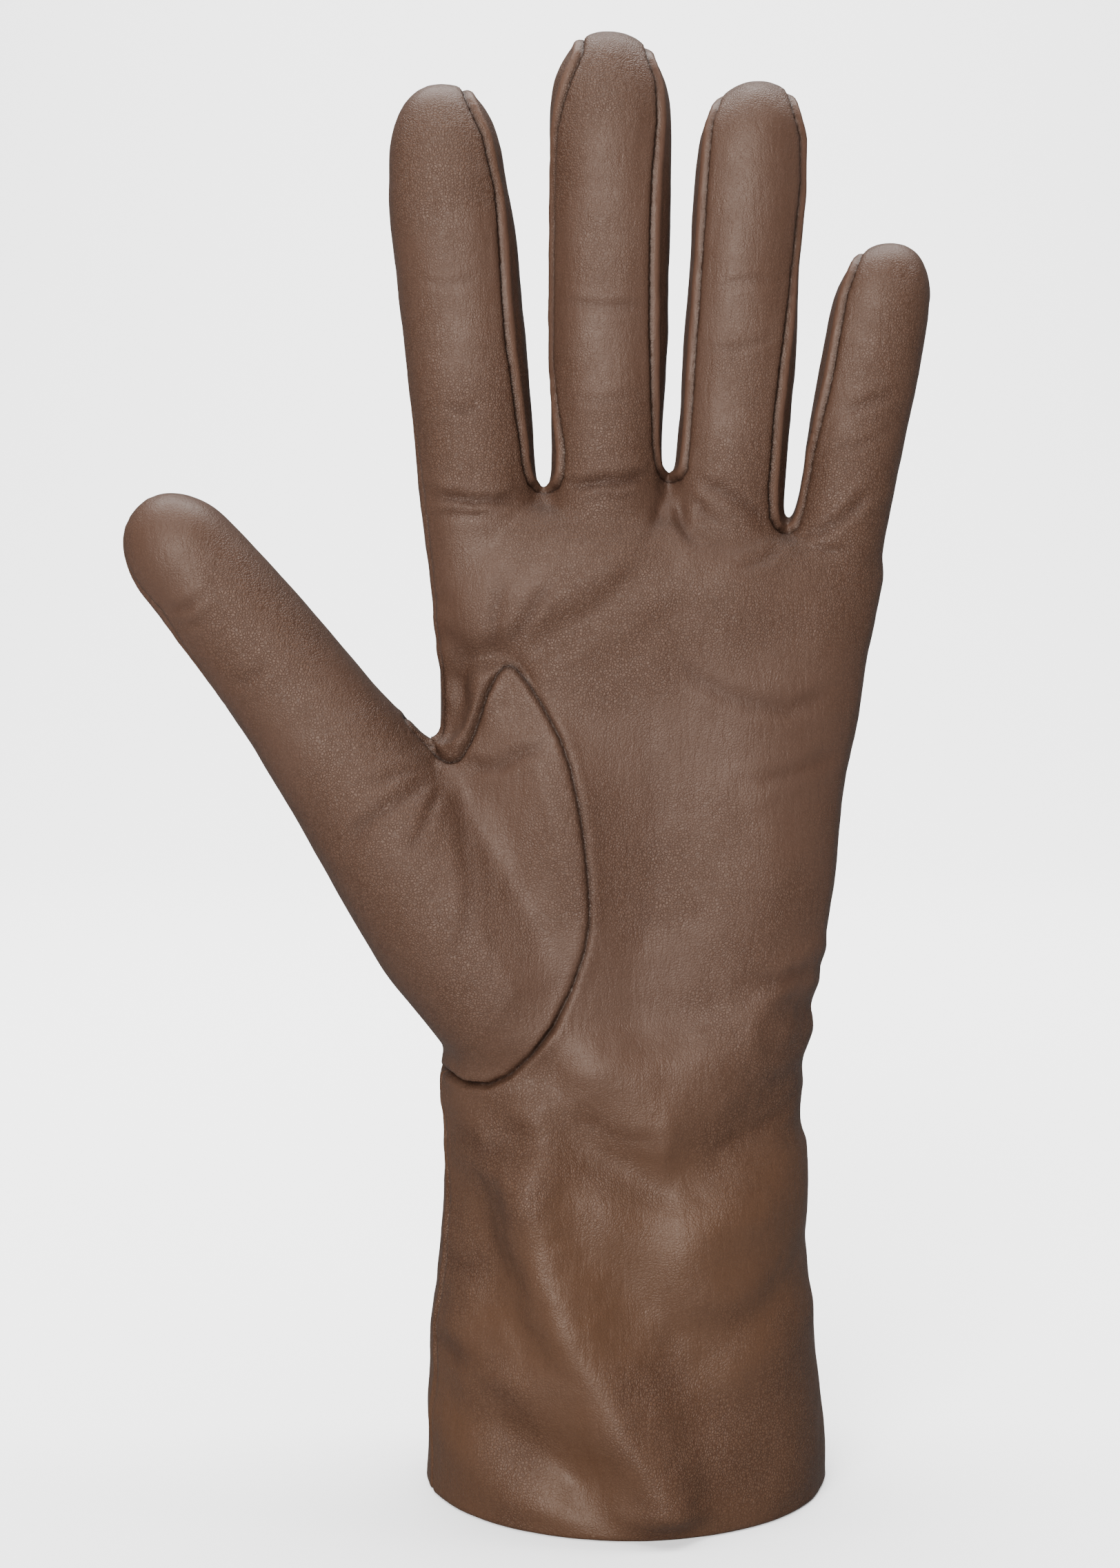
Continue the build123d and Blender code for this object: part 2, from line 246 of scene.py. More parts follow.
def finger_form(bm, rows, inset):
    """A finger as a tube that rounds off at the tip."""
    shaft = rail(rows[:-1], 30) - np.array((0, 0, 2 * inset, inset))
    last, tip = shaft[-1], rows[-1]
    dome = []
    for angle in (12, 24, 36, 47, 57, 66, 74, 81, 87):
        rise, fall = math.sin(math.radians(angle)), math.cos(math.radians(angle))
        dome.append((
            last[0] + (tip[0] - inset - last[0]) * rise,
            last[1] + (tip[1] - last[1]) * rise,
            last[2] * fall**0.9,
            last[3] * fall**0.9,
        ))
    rows = [*shaft, *dome]

    def place(step, turn):
        z, centre, width, half_depth = rows[step]
        x, y = corner(turn, width / 2, half_depth, 2.25)
        return Vector((centre + x, y, z))

    grow(bm, len(rows), place)


def thumb_form(bm, inset):
    """The thumb with its root as a tube square to its own bent line."""
    keyed = [(i, *row) for i, row in enumerate(THUMB_ROWS[:-1])]
    shaft = rail(keyed, 50)[:, 1:] - np.array((0, 0, inset, inset, 0))
    last, tip = shaft[-1], THUMB_ROWS[-1]
    dome = []
    for angle in (12, 24, 36, 47, 57, 66, 74, 81, 87):
        rise, fall = math.sin(math.radians(angle)), math.cos(math.radians(angle))
        centre = [a + (b - a) * rise * (1 - inset / 16) for a, b in zip(last[:2], tip[:2])]
        dome.append((*centre, last[2] * fall**0.9, last[3] * fall**0.9, last[4]))
    rows = [*shaft, *dome]
    lean = []
    for i, row in enumerate(rows):
        low, high = rows[max(0, i - 1)], rows[min(len(rows) - 1, i + 1)]
        lean.append(math.atan2(high[0] - low[0], high[1] - low[1]))

    def place(step, turn):
        x0, z0, half_width, half_depth, y0 = rows[step]
        across, y = corner(turn, half_width, half_depth, 2.15)
        return Vector((x0 + across * math.cos(lean[step]), y0 + y, z0 - across * math.sin(lean[step])))

    grow(bm, len(rows), place)


def web_form(bm, centre, radii):
    """A soft lump that fills the bottom of a gap."""
    place = Matrix.Translation(centre) @ Matrix.Diagonal((*radii, 1.0))
    bmesh.ops.create_uvsphere(bm, u_segments=24, v_segments=16, radius=1.0, matrix=place)


def laid_out(name, bm):
    """Puts a finished shape into the scene as an object of that name."""
    mesh = bpy.data.meshes.new(name)
    bm.to_mesh(mesh)
    bm.free()
    piece = bpy.data.objects.new(name, mesh)
    bpy.context.collection.objects.link(piece)
    return piece


def even_out(bm, verts, rounds):
    """Smooths the given part of a skin."""
    for _ in range(rounds):
        bmesh.ops.smooth_vert(bm, verts=verts, factor=0.5, use_axis_x=True, use_axis_y=True, use_axis_z=True)


def round_off(bm):
    """Shades every face smoothly."""
    for face in bm.faces:
        face.smooth = True


def trim_below(bm, height):
    """Cuts away everything below a height."""
    every = bm.verts[:] + bm.edges[:] + bm.faces[:]
    bmesh.ops.bisect_plane(bm, geom=every, plane_co=(0, 0, height), plane_no=(0, 0, 1), clear_inner=True)


def hand_mesh(grid, smoothing, inset=0.0):
    """All the forms, drawn in by the inset and run together into one even skin, then smoothed."""
    bm = bmesh.new()
    body_form(bm, inset)
    for rows in FINGER_ROWS.values():
        finger_form(bm, rows, inset)
    thumb_form(bm, inset)
    for centre, radii in WEBS:
        web_form(bm, centre, [radius - inset for radius in radii])
    bmesh.ops.recalc_face_normals(bm, faces=bm.faces)
    form = laid_out("hand_form", bm)
    skin = form.modifiers.new("skin", "REMESH")
    skin.mode = "VOXEL"
    skin.voxel_size = grid
    skinned = form.evaluated_get(bpy.context.evaluated_depsgraph_get())
    bm = bmesh.new()
    bm.from_mesh(skinned.to_mesh())
    skinned.to_mesh_clear()
    bpy.data.objects.remove(form)
    even_out(bm, bm.verts, smoothing)
    return bm


def points_of(bm):
    """Vertex places as an array, with the indices brought up to date."""
    bm.verts.ensure_lookup_table()
    bm.verts.index_update()
    return np.array([v.co for v in bm.verts])


def normals_of(bm):
    """Vertex normals as an array."""
    bm.normal_update()
    return np.array([v.normal for v in bm.verts])


def blend_root(bm, rounds):
    """Smooths the hollow between the root of the thumb and the palm, and the bottom of the thumb's crotch."""
    co = points_of(bm)
    away = line_distance(co[:, [0, 2]], THUMB_HOLLOW)
    from_corner = np.linalg.norm(co[:, [0, 2]] - np.array(THUMB_CORNER), axis=1)
    even_out(bm, [bm.verts[i] for i in np.nonzero((away < 9) & (co[:, 1] < -4))[0]], rounds)
    even_out(bm, [bm.verts[i] for i in np.nonzero(from_corner < 5)[0]], CORNER_ROUNDS)


def move(bm, places):
    """Puts every vertex at its place."""
    for v, place in zip(bm.verts, places):
        v.co = place


def swell(bm):
    """Presses the mounds and hollows of the hand into the skin."""
    co, normal = points_of(bm), normals_of(bm)
    lift = np.zeros(len(co))
    for x, z, side, rx, rz, height in SWELLS:
        facing = np.clip(normal[:, 1] * side * 1.6, 0, 1)
        lift += height * facing * np.exp(-(((co[:, 0] - x) / rx) ** 2) - ((co[:, 2] - z) / rz) ** 2)
    move(bm, co + normal * lift[:, None])


# --- Seams ---

# Outlines are drawn as seen from in front of the palm, in x and z
GAP_OUTLINES = [
    [
        (-32.5, 282), (-31.6, 268), (-30.7, 264.2), (-27.2, 256.6), (-24.9, 246.5), (-23.9, 234.5),
        (-23.3, 224.7), (-22.7, 216.6), (-21.4, 207.5), (-20.2, 199.3), (-19.6, 194), (-18.6, 190.2),
        (-16.9, 188.6), (-15, 188.4), (-13, 189.4), (-12.1, 191.8), (-12.1, 196.6), (-13.3, 204.7),
        (-13.9, 212.8), (-14, 237.2), (-13.9, 250), (-13.2, 258), (-12.2, 263), (-10.6, 268),
        (-8.4, 273), (-8, 284),
    ],
    [
        (2.6, 284), (3.2, 277), (4.4, 272.6), (6.1, 267.2), (6.4, 259.6), (5.5, 250.7), (4.9, 238.9),
        (4.9, 221), (5.2, 209), (5.4, 197.4), (5.9, 193), (7.2, 190.7), (9, 190.4), (10.6, 191),
        (11.6, 192.8), (12.3, 203.4), (14, 227), (15.5, 247.8), (16.5, 259.6), (18.3, 264.3),
        (20.2, 268), (20.6, 284),
    ],
    [
        (30.2, 284), (30.6, 266.5), (31.9, 263.7), (33.9, 256.5), (33.9, 247.8), (32.5, 233),
        (30.6, 218), (28.9, 203.4), (27.7, 189), (28, 183.4), (29.3, 180.9), (31, 180.4),
        (32.8, 181.2), (34.1, 185.6), (36, 195.7), (39.2, 209.2), (40.8, 218), (42.3, 226),
        (44.6, 232.4), (46.6, 237), (47, 284),
    ],
]
THUMB_FRONT_SEAM = [
    (-42, 144), (-40.7, 142.3), (-38, 139.4), (-35.4, 137), (-33.8, 136.3), (-31.8, 137),
    (-29.9, 140.2), (-28.1, 145), (-26.7, 149.6), (-25, 153), (-23.4, 154.9), (-21.6, 154.8),
    (-18.9, 151.8), (-15.8, 146.9), (-12.6, 141), (-10.5, 135.2), (-9, 128.1), (-8, 122),
    (-7.2, 115), (-6.8, 109), (-6.9, 105.2), (-7.9, 99.6), (-10.4, 92.6), (-14, 85.4),
    (-18.2, 79.9), (-22.4, 76.2), (-26.4, 74.4), (-30, 74.8), (-33.4, 77), (-36, 79),
]
THUMB_BACK_SEAM = [
    (-42, 144), (-38, 140.4), (-35, 136.6), (-33.4, 128), (-32, 116), (-31.6, 102), (-32.6, 90),
    (-34, 82), (-36, 79),
]
THUMB_OUTSIDE = [(-60, 76), (-130, 100), (-130, 215), (-80, 215), (-60, 182), (-50, 163), (-44, 151)]
QUIRK_LINE = [
    (-26.4, 150.4), (-27.2, 145.8), (-28.6, 142), (-31.2, 138.6), (-34, 137.2), (-36.8, 138.4),
    (-39, 140.6), (-41, 143.2),
]
# Place of the seam on the outer edge: height, y
SIDE_SEAM = [
    (0, -9.5), (40, -8.6), (62, -6.6), (80, -4.6), (137, -4.2), (190, -4.4), (204, -2.5), (225, 0.5),
    (270, 0.0),
]
THUMB_EDGE_SEAM = [(-60, 4.0), (0, 3.0), (20, 1.0), (34, -3.5), (48, -5.4), (66, -2.0)]


def seen(co):
    """x and z of points as they are seen from in front of the palm, or from behind for the back."""
    near = VIEW_DISTANCE / (VIEW_DISTANCE - np.abs(co[:, 1]))
    x = VIEW_CENTRE[0] + (co[:, 0] - VIEW_CENTRE[0]) * near
    z = VIEW_CENTRE[1] + (co[:, 2] - VIEW_CENTRE[1]) * near
    return np.stack([x, z], 1)


def line_distance(flat, line, closed=False):
    """Distance of flat points from a line of points."""
    line = np.array(line, float)
    ends = np.roll(line, -1, 0) if closed else line[1:]
    starts = line if closed else line[:-1]
    best = np.full(len(flat), 1e9)
    for a, b in zip(starts, ends):
        along = b - a
        t = np.clip((flat - a) @ along / max(along @ along, 1e-9), 0, 1)
        best = np.minimum(best, np.linalg.norm(flat - a - t[:, None] * along, axis=1))
    return best


def inside(flat, outline):
    """True for flat points inside a closed outline."""
    x, z = flat[:, 0], flat[:, 1]
    hit = np.zeros(len(flat), bool)
    for (x0, z0), (x1, z1) in zip(outline, outline[1:] + outline[:1]):
        if z0 == z1:
            continue
        crosses = ((z0 > z) != (z1 > z)) & (x < (x1 - x0) * (z - z0) / (z1 - z0) + x0)
        hit ^= crosses
    return hit


def depth_in(flat, outline):
    """Distance inside a closed outline, negative outside."""
    away = line_distance(flat, outline, closed=True)
    return np.where(inside(flat, outline), away, -away)


def ease(t):
    """Smooth step from 0 to 1."""
    t = np.clip(t, 0, 1)
    return t * t * (3 - 2 * t)


def gap_level(number):
    """Above zero on the fourchettes of one gap between fingers."""

    def level(co):
        back = ease((co[:, 1] + 2) / 4)
        return depth_in(seen(co), GAP_OUTLINES[number]) + 1.0 * back

    return level


def thumb_level(co):
    """Above zero on the thumb's own piece."""
    flat = seen(co)
    front = depth_in(flat, THUMB_FRONT_SEAM + THUMB_OUTSIDE)
    back = depth_in(flat, THUMB_BACK_SEAM + THUMB_OUTSIDE)
    share = ease((co[:, 1] + 3) / 6)
    return front * (1 - share) + back * share


def quirk_lift(co, normal):
    """Height of the rolled, puckered strip in the crotch of the thumb and the hollow behind it."""
    flat = seen(co)
    away = line_distance(flat, QUIRK_LINE)
    above = -depth_in(flat, THUMB_FRONT_SEAM + THUMB_OUTSIDE)
    share = ease((above + 0.1) / 0.5) * ease((0.5 - normal[:, 1]) / 0.5) * ease((3.0 - co[:, 1]) / 3.0)
    run = np.linalg.norm(flat - np.array(QUIRK_LINE[0]), axis=1)
    rest = np.linalg.norm(flat - np.array(QUIRK_LINE[-1]), axis=1)
    full = ease(run / 7.0) * ease((rest - 1.0) / 5.5) * share
    pucker = 0.16 * np.sin(run * 4.6 + 1.4 * wander(co, 2.5, 8))
    roll = (1.2 + pucker) * np.exp(-(((away - 1.7) / 1.3) ** 2))
    hollow = -1.9 * np.exp(-(((away - 6.2) / 3.0) ** 2)) * ease((co[:, 0] + 37.5) / 4.0)
    return full * (roll + hollow)


def side_level(co):
    """Zero along the outer edge seam."""
    heights, places = zip(*SIDE_SEAM)
    return co[:, 1] - np.interp(co[:, 2], heights, places)


def thumb_along(co):
    """Distance along the thumb and across it."""
    lean = math.radians(THUMB_LEAN)
    dx, dz = co[:, 0] - THUMB_ROOT[0], co[:, 2] - THUMB_ROOT[1]
    return dx * math.sin(lean) + dz * math.cos(lean), dx * math.cos(lean) - dz * math.sin(lean)


def thumb_edge_level(co):
    """Zero along the seam on the thumb's outer edge."""
    along, _ = thumb_along(co)
    heights, places = zip(*THUMB_EDGE_SEAM)
    return co[:, 1] - np.interp(along, heights, places)


def finger_of(co):
    """Number of the finger that each point belongs to, 0 index to 3 little."""
    number = np.zeros(len(co), int)
    for x, z, lean in GAP_LINES:
        number += co[:, 0] > x + lean * (co[:, 2] - z)
    return number


def finger_along(co, name):
    """Distance along a finger from its root."""
    (x, z), lean, _ = FINGER_FRAMES[name]
    turn = math.radians(lean)
    return (co[:, 0] - x) * math.sin(turn) + (co[:, 2] - z) * math.cos(turn)


def edge_wanted(co):
    """Where the outer edge seam runs: below the thumb, and from its crotch to the index fingertip."""
    left = np.where(co[:, 2] > 185, co[:, 0] < -31.5, co[:, 0] < -20)
    clear = (gap_level(0)(co) < 0.05) & (thumb_level(co) < 0.02)
    return left & clear


def tip_wanted(number):
    """Where a short seam joins front and back over a fingertip, between its fourchettes."""
    name = list(FINGER_FRAMES)[number]
    length = FINGER_FRAMES[name][2]

    def wanted(co):
        near = (finger_of(co) == number) & (finger_along(co, name) > length - 12)
        clear = np.ones(len(co), bool)
        for gap in (number - 1, number):
            if 0 <= gap < 3:
                clear &= gap_level(gap)(co) < 0.02
        return near & clear

    return wanted


def score(bm, level, wanted, mark=True, snap=0.2):
    """Runs an edge line through the skin where level is zero and wanted is true, and marks it as a seam."""
    co = points_of(bm)
    value = level(co)
    allowed = wanted(co)
    ends = np.array([(e.verts[0].index, e.verts[1].index) for e in bm.edges])
    a, b = ends[:, 0], ends[:, 1]
    crossing = allowed[a] & allowed[b] & (value[a] * value[b] < 0)
    a, b = a[crossing], b[crossing]
    t = value[a] / (value[a] - value[b])
    near = [(t[i], a[i], b[i]) for i in np.nonzero(t < snap)[0]]
    near += [(1 - t[i], b[i], a[i]) for i in np.nonzero(t > 1 - snap)[0]]
    on_line = {}
    for share, here, there in sorted(near):
        if here not in on_line:
            on_line[here] = share
            bm.verts[here].co += Vector(share * (co[there] - co[here]))
            value[here] = 0
    bm.edges.ensure_lookup_table()
    numbers = np.nonzero(crossing)[0]
    strict = value[ends[numbers, 0]] * value[ends[numbers, 1]] < 0
    cut, shares = [], {}
    for n in numbers[strict]:
        edge = bm.edges[n]
        va, vb = value[ends[n, 0]], value[ends[n, 1]]
        cut.append(edge)
        shares[edge] = va / (va - vb)
    made = bmesh.ops.bisect_edges(bm, edges=cut, cuts=1, edge_percents=shares)["geom_split"]
    bm.verts.ensure_lookup_table()
    line = dict.fromkeys([bm.verts[i] for i in on_line] + [g for g in made if isinstance(g, bmesh.types.BMVert)])
    bmesh.ops.connect_verts(bm, verts=list(line))
    if mark:
        for vert in line:
            for edge in vert.link_edges:
                if edge.verts[0] in line and edge.verts[1] in line:
                    edge.seam = True


def everywhere(co):
    """No limit on where a line may run."""
    return np.ones(len(co), bool)


def seam_tree(bm):
    """Search tree of points along the marked seams."""
    places = []
    for edge in bm.edges:
        if edge.seam:
            a, b = edge.verts[0].co, edge.verts[1].co
            count = max(1, int((b - a).length / 0.2))
            places += [a.lerp(b, (i + 0.5) / count) for i in range(count)]
    tree = kdtree.KDTree(len(places))
    for i, place in enumerate(places):
        tree.insert(place, i)
    tree.balance()
    return tree


def seam_distance(tree, co, reach=6.0):
    """Distance of each point from the nearest seam, capped at reach."""
    return np.array([min(reach, tree.find(p)[2]) for p in co])


def sew(bm):
    """Cuts every seam line into the skin, with close lines beside it for the roll of the leather."""
    for number in range(3):
        score(bm, gap_level(number), lambda co: co[:, 2] > FINGERS_ABOVE)
    score(bm, thumb_level, lambda co: (co[:, 0] < 0) & (co[:, 2] < 165))
    score(bm, side_level, edge_wanted)
    score(bm, thumb_edge_level, lambda co: (thumb_level(co) > -0.02) & (thumb_along(co)[1] < 0)
          & (thumb_along(co)[0] > -48) & (co[:, 0] < -30))
    for number in range(4):
        score(bm, lambda co: co[:, 1] - 0.2, tip_wanted(number))
    tree = seam_tree(bm)
    for offset in (0.32, 0.9):
        score(bm, lambda co: seam_distance(tree, co) - offset, everywhere, mark=False)
    return tree


CUFF_RAIL = rail(BODY_ROWS, 200)
PANELS = ("trank", "fourchette_0", "fourchette_1", "fourchette_2", "thumb")


def panel_of(co):
    """Number of the leather piece at each point."""
    panel = np.zeros(len(co), int)
    for number in range(3):
        panel[(gap_level(number)(co) > 0) & (co[:, 2] > FINGERS_ABOVE)] = number + 1
    panel[(thumb_level(co) > 0) & (co[:, 0] < 0) & (co[:, 2] < 215)] = 4
    return panel


def cut_zones(bm):
    """Cuts the skin square across the fingers and thumb where one moving stretch hands over to the next."""
    for number, (name, ((x, z), lean, _)) in enumerate(FINGER_FRAMES.items()):
        turn = math.radians(lean)
        axis = Vector((math.sin(turn), 0, math.cos(turn)))
        for height in zone_heights(name):
            cut_across(bm, Vector((x, 0, z)) + axis * height, axis,
                       lambda co, n=number: (finger_of(co) == n) & (co[:, 2] > FINGERS_ABOVE))
    turn = math.radians(THUMB_LEAN)
    axis = Vector((math.sin(turn), 0, math.cos(turn)))
    for height in (THUMB_START, THUMB_MIDDLE):
        cut_across(bm, Vector((THUMB_ROOT[0], 0, THUMB_ROOT[1])) + axis * height, axis,
                   lambda co: (thumb_along(co)[0] > -4) & beside_hand(co))


def beside_hand(co):
    """Whether each point is out on the thumb's side."""
    return (co[:, 0] < THUMB_BESIDE) & (co[:, 2] < THUMB_BELOW)


def cut_across(bm, place, axis, wanted):
    """Cuts the wanted part of the skin by a plane."""
    co = points_of(bm)
    close = np.nonzero(np.abs((co - np.array(place)) @ np.array(axis)) < 4)[0]
    kept = {int(i) for i, good in zip(close, wanted(co[close])) if good}
    near = dict.fromkeys(
        f for i in sorted(kept) for f in bm.verts[i].link_faces if all(v.index in kept for v in f.verts)
    )
    geom = dict.fromkeys([v for f in near for v in f.verts] + [e for f in near for e in f.edges] + list(near))
    bmesh.ops.bisect_plane(bm, geom=list(geom), plane_co=place, plane_no=axis, dist=0.02)


def zone_heights(name):
    """Heights along a finger at which its three stretches start."""
    length = FINGER_FRAMES[name][2]
    mid, tip = MID_FOLD * length, TIP_FOLD * length
    return FINGER_START[name], (BASE_FOLD + mid) / 2, (mid + tip) / 2


def zone_of(co):
    """Number of the moving stretch at each point: 0 hand, 1 to 12 fingers, 13 and 14 thumb."""
    zone = np.zeros(len(co), int)
    finger = finger_of(co)
    for number, name in enumerate(FINGER_FRAMES):
        along = finger_along(co, name)
        mine = (finger == number) & (co[:, 2] > FINGERS_ABOVE)
        for step, height in enumerate(zone_heights(name)):
            zone[mine & (along > height)] = 1 + 3 * number + step
    along, _ = thumb_along(co)
    thumb = beside_hand(co) & (thumb_level(co) > -3)
    zone[thumb & (along > THUMB_START)] = 13
    zone[thumb & (along > THUMB_MIDDLE)] = 14
    return zone


# --- Folds and creases ---

# Line in x and z, side (-1 palm, 1 back), depth, half width; a negative depth makes a raised fold
CREASES = [
    ([(-37.5, 188), (-31, 186.6), (-24, 186.2), (-19, 187.6)], -1, 0.75, 1),
    ([(-36.5, 183.6), (-29, 183.4), (-22.5, 184.4)], -1, 0.3, 0.9),
    ([(-12, 188.6), (-5, 189.6), (2, 190.6), (5.6, 190)], -1, 0.8, 1),
    ([(-10, 186.2), (-2, 187.2), (3.4, 187.4)], -1, 0.3, 0.9),
    ([(12, 190.4), (17, 189), (22, 185.4), (26.6, 181)], -1, 0.5, 1.1),
    ([(10.4, 188.6), (14.4, 184), (18.4, 180.4)], -1, 0.35, 0.9),
    ([(9.4, 188.6), (10.4, 182), (13, 176)], -1, 0.45, 1),
    ([(8, 188.8), (6.4, 183), (3, 178)], -1, 0.3, 0.9),
    ([(29.6, 179.2), (26, 175.4), (20, 173)], -1, 0.35, 0.9),
    ([(32.4, 179.6), (37, 181), (42, 184.2), (47.6, 188.4)], -1, 0.5, 1),
    ([(32.6, 178), (38, 176.6), (44, 178)], -1, 0.3, 0.9),
    ([(-36, 203.6), (-31, 202.8), (-26.6, 203.8)], -1, 0.3, 0.8),
    ([(-12.6, 206), (-6, 205), (2, 205.8)], -1, 0.22, 0.8),
    ([(-12.8, 223.6), (-4, 222.2), (4, 222.8)], -1, 0.28, 0.9),
    ([(14, 214), (21, 215.6), (29, 217)], -1, 0.22, 0.8),
    ([(14.6, 226), (22, 227.4), (30, 228)], -1, 0.2, 0.8),
    ([(39, 203), (45, 204.6), (52, 207.6)], -1, 0.35, 0.9),
    ([(37, 196), (43, 196.4), (50, 199)], -1, 0.22, 0.8),
    ([(-40, 228), (-34, 226.6), (-27, 227.8)], -1, 0.18, 0.8),
    ([(-22.4, 156.6), (-14, 160.4), (-4, 167), (6, 175)], -1, 0.75, 2.7),
    ([(-23, 158), (-18.6, 164.4), (-12.6, 172)], -1, 0.4, 1.2),
    ([(-24.4, 156.6), (-24.8, 164), (-22.6, 172)], -1, 0.35, 1.1),
    ([(-27.4, 153.6), (-31.4, 158.6), (-34.6, 166)], -1, 0.4, 2),
    ([(-30.4, 145), (-33, 151), (-35.6, 158)], -1, 0.9, 2.4),
    ([(-31.4, 135.6), (-24, 137), (-14, 141.2)], -1, 0.45, 1.2),
    ([(-32.6, 133.8), (-29.6, 126), (-29, 114), (-30, 102)], -1, 0.24, 1.4),
    ([(-30.4, 134.6), (-26.6, 124), (-25.6, 110)], -1, 0.16, 1.2),
    ([(-35.4, 135.6), (-41, 131.6), (-47, 127.6), (-52, 121.4)], -1, 0.4, 1.3),
    ([(-36.4, 137), (-43, 134.8), (-49, 132.4)], -1, 0.3, 1),
    ([(-34.4, 134.2), (-37, 127), (-42, 119.6)], -1, 0.3, 1.1),
    ([(-87.6, 165.4), (-83, 166.2), (-79, 168.8)], -1, 0.4, 0.9),
    ([(-86, 162.4), (-81, 163), (-76.6, 165.4)], -1, 0.22, 0.9),
    ([(-76, 151.4), (-71.4, 152.6), (-66.6, 157)], -1, 0.3, 1.1),
    ([(40, 150), (30, 147), (18, 150), (8, 156)], -1, 0.35, 1.6),
    ([(41, 140), (31, 135.6), (22, 133)], -1, 0.25, 1.4),
    ([(2, 148), (6, 132), (5, 114), (1, 100)], -1, 0.12, 2.2),
    ([(35.6, 95.6), (32.4, 91.4), (28.2, 86.6)], -1, 1.5, 2.8),
    ([(35.2, 99.4), (29, 97), (22, 96.4)], -1, 0.4, 1.4),
    ([(36, 75), (20, 67), (6.7, 60.6), (-8, 68.6), (-19, 74)], -1, 2.5, 6.2),
    ([(34, 74.8), (24, 68.6), (14, 66.4)], -1, 0.2, 1.1),
    ([(6, 68.6), (-2, 70), (-10, 73.4)], -1, 0.16, 1),
    ([(35, 91), (24, 88), (10, 82.6), (-4, 82), (-16, 83)], -1, -1.7, 5.6),
    ([(-33, 68.6), (-26, 66), (-19, 68)], -1, 0.5, 2),
    ([(-20.6, 69), (-16.6, 50), (-10.2, 34), (-2, 20), (5, 8), (8, -8)], -1, -3.7, 6.3),
    ([(-4, 58), (4, 40), (13, 24), (18, 12)], -1, 1.5, 6.6),
    ([(-30, 22), (-20, 15), (-10, 10.6), (-2, 6)], -1, 2, 4.6),
    ([(-27, 68), (-26, 50), (-22, 34)], -1, 1.5, 4.6),
    ([(36, 43), (22, 36), (10, 31.6)], -1, 0.9, 3.8),
    ([(30, 60), (22, 54), (17, 46)], -1, -1.5, 6.4),
    ([(-36.6, 30), (-32, 28), (-26, 30)], -1, 0.4, 2),
    ([(-36, 44.6), (-30, 43), (-25, 45.4)], -1, 0.4, 1.8),
    ([(-34, 72), (-16, 66), (4, 68), (22, 64), (34, 70)], 1, 1.3, 2.4),
    ([(-33, 62), (-14, 58.6), (10, 60.6), (33, 58)], 1, 0.9, 2.6),
    ([(-34, 80), (-18, 76), (0, 79)], 1, 0.6, 2),
    ([(-20, 46), (-8, 28), (0, 8)], 1, -1.4, 7),
    ([(8, 46), (16, 26), (20, 8)], 1, 1.2, 6),
    ([(-33, 124), (-26, 130), (-20, 140)], 1, 0.5, 1.8),
    ([(-36, 112), (-44, 120), (-50, 130)], 1, 0.35, 1.5),
    ([(-76, 164), (-80, 166.6), (-86, 164)], 1, 0.3, 1.2),
]


def wander(co, size, seed):
    """Smooth random numbers from -1 to 1 over the points."""
    shift = Vector((seed * 13.1, seed * 7.7, seed * 3.3))
    return np.array([noise.noise(Vector(p) / size + shift) for p in co])


def crease_lift(co, normal):
    """Height of all creases and folds at each point, and how deep in a crease it lies; that depth is painted
    into the leather's colour as shade.
    """
    drift = np.stack([wander(co, 7.0, 1), wander(co, 7.0, 2)], 1) * 0.9
    fine = np.stack([wander(co, 2.2, 3), wander(co, 2.2, 4)], 1) * 0.3
    flat = co[:, [0, 2]] + drift + fine
    lift = np.zeros(len(co))
    crease_shade_depth = np.zeros(len(co))
    for line, side, depth, width in CREASES:
        box = np.array(line)
        low, high = box.min(0) - 4 * width, box.max(0) + 4 * width
        near = ((flat > low) & (flat < high)).all(1) & (normal[:, 1] * side > -0.3)
        if not near.any():
            continue
        part = flat[near]
        away = line_distance(part, line)
        ends = np.minimum(np.linalg.norm(part - box[0], axis=1), np.linalg.norm(part - box[-1], axis=1))
        fade = ease(ends / (1.6 * width + 3.0)) * ease((normal[near, 1] * side + 0.3) / 0.6)
        if depth > 0:
            valley = np.exp(-((away / width) ** 2))
            shoulder = np.exp(-(((away - 2.0 * width) / (1.1 * width)) ** 2))
            lift[near] += fade * depth * (0.42 * shoulder - valley)
            crease_shade_depth[near] = np.maximum(crease_shade_depth[near], fade * min(0.8, depth) * valley * (width < 2.3))
        else:
            lift[near] -= fade * depth * np.exp(-((away / width) ** 2))
    return lift, crease_shade_depth


def fold_lift(co, normal):
    """Height of the folds, creases and the thumb's rolled strip, and how deep in a crease each point lies, for
    the painted crease shade.
    """
    folds, crease_shade_depth = crease_lift(co, normal)
    return folds * ease(co[:, 2] / 5.0) + quirk_lift(co, normal), crease_shade_depth


def seam_lift(away, panel):
    """Height of the rolled leather beside a seam."""
    groove = -0.6 * np.exp(-((away / 0.32) ** 2))
    strip = (panel > 0) & (panel < 4)
    roll = np.where(strip, 0.5, 0.16) * np.exp(-(((away - 1.4) / 0.9) ** 2))
    return groove + roll


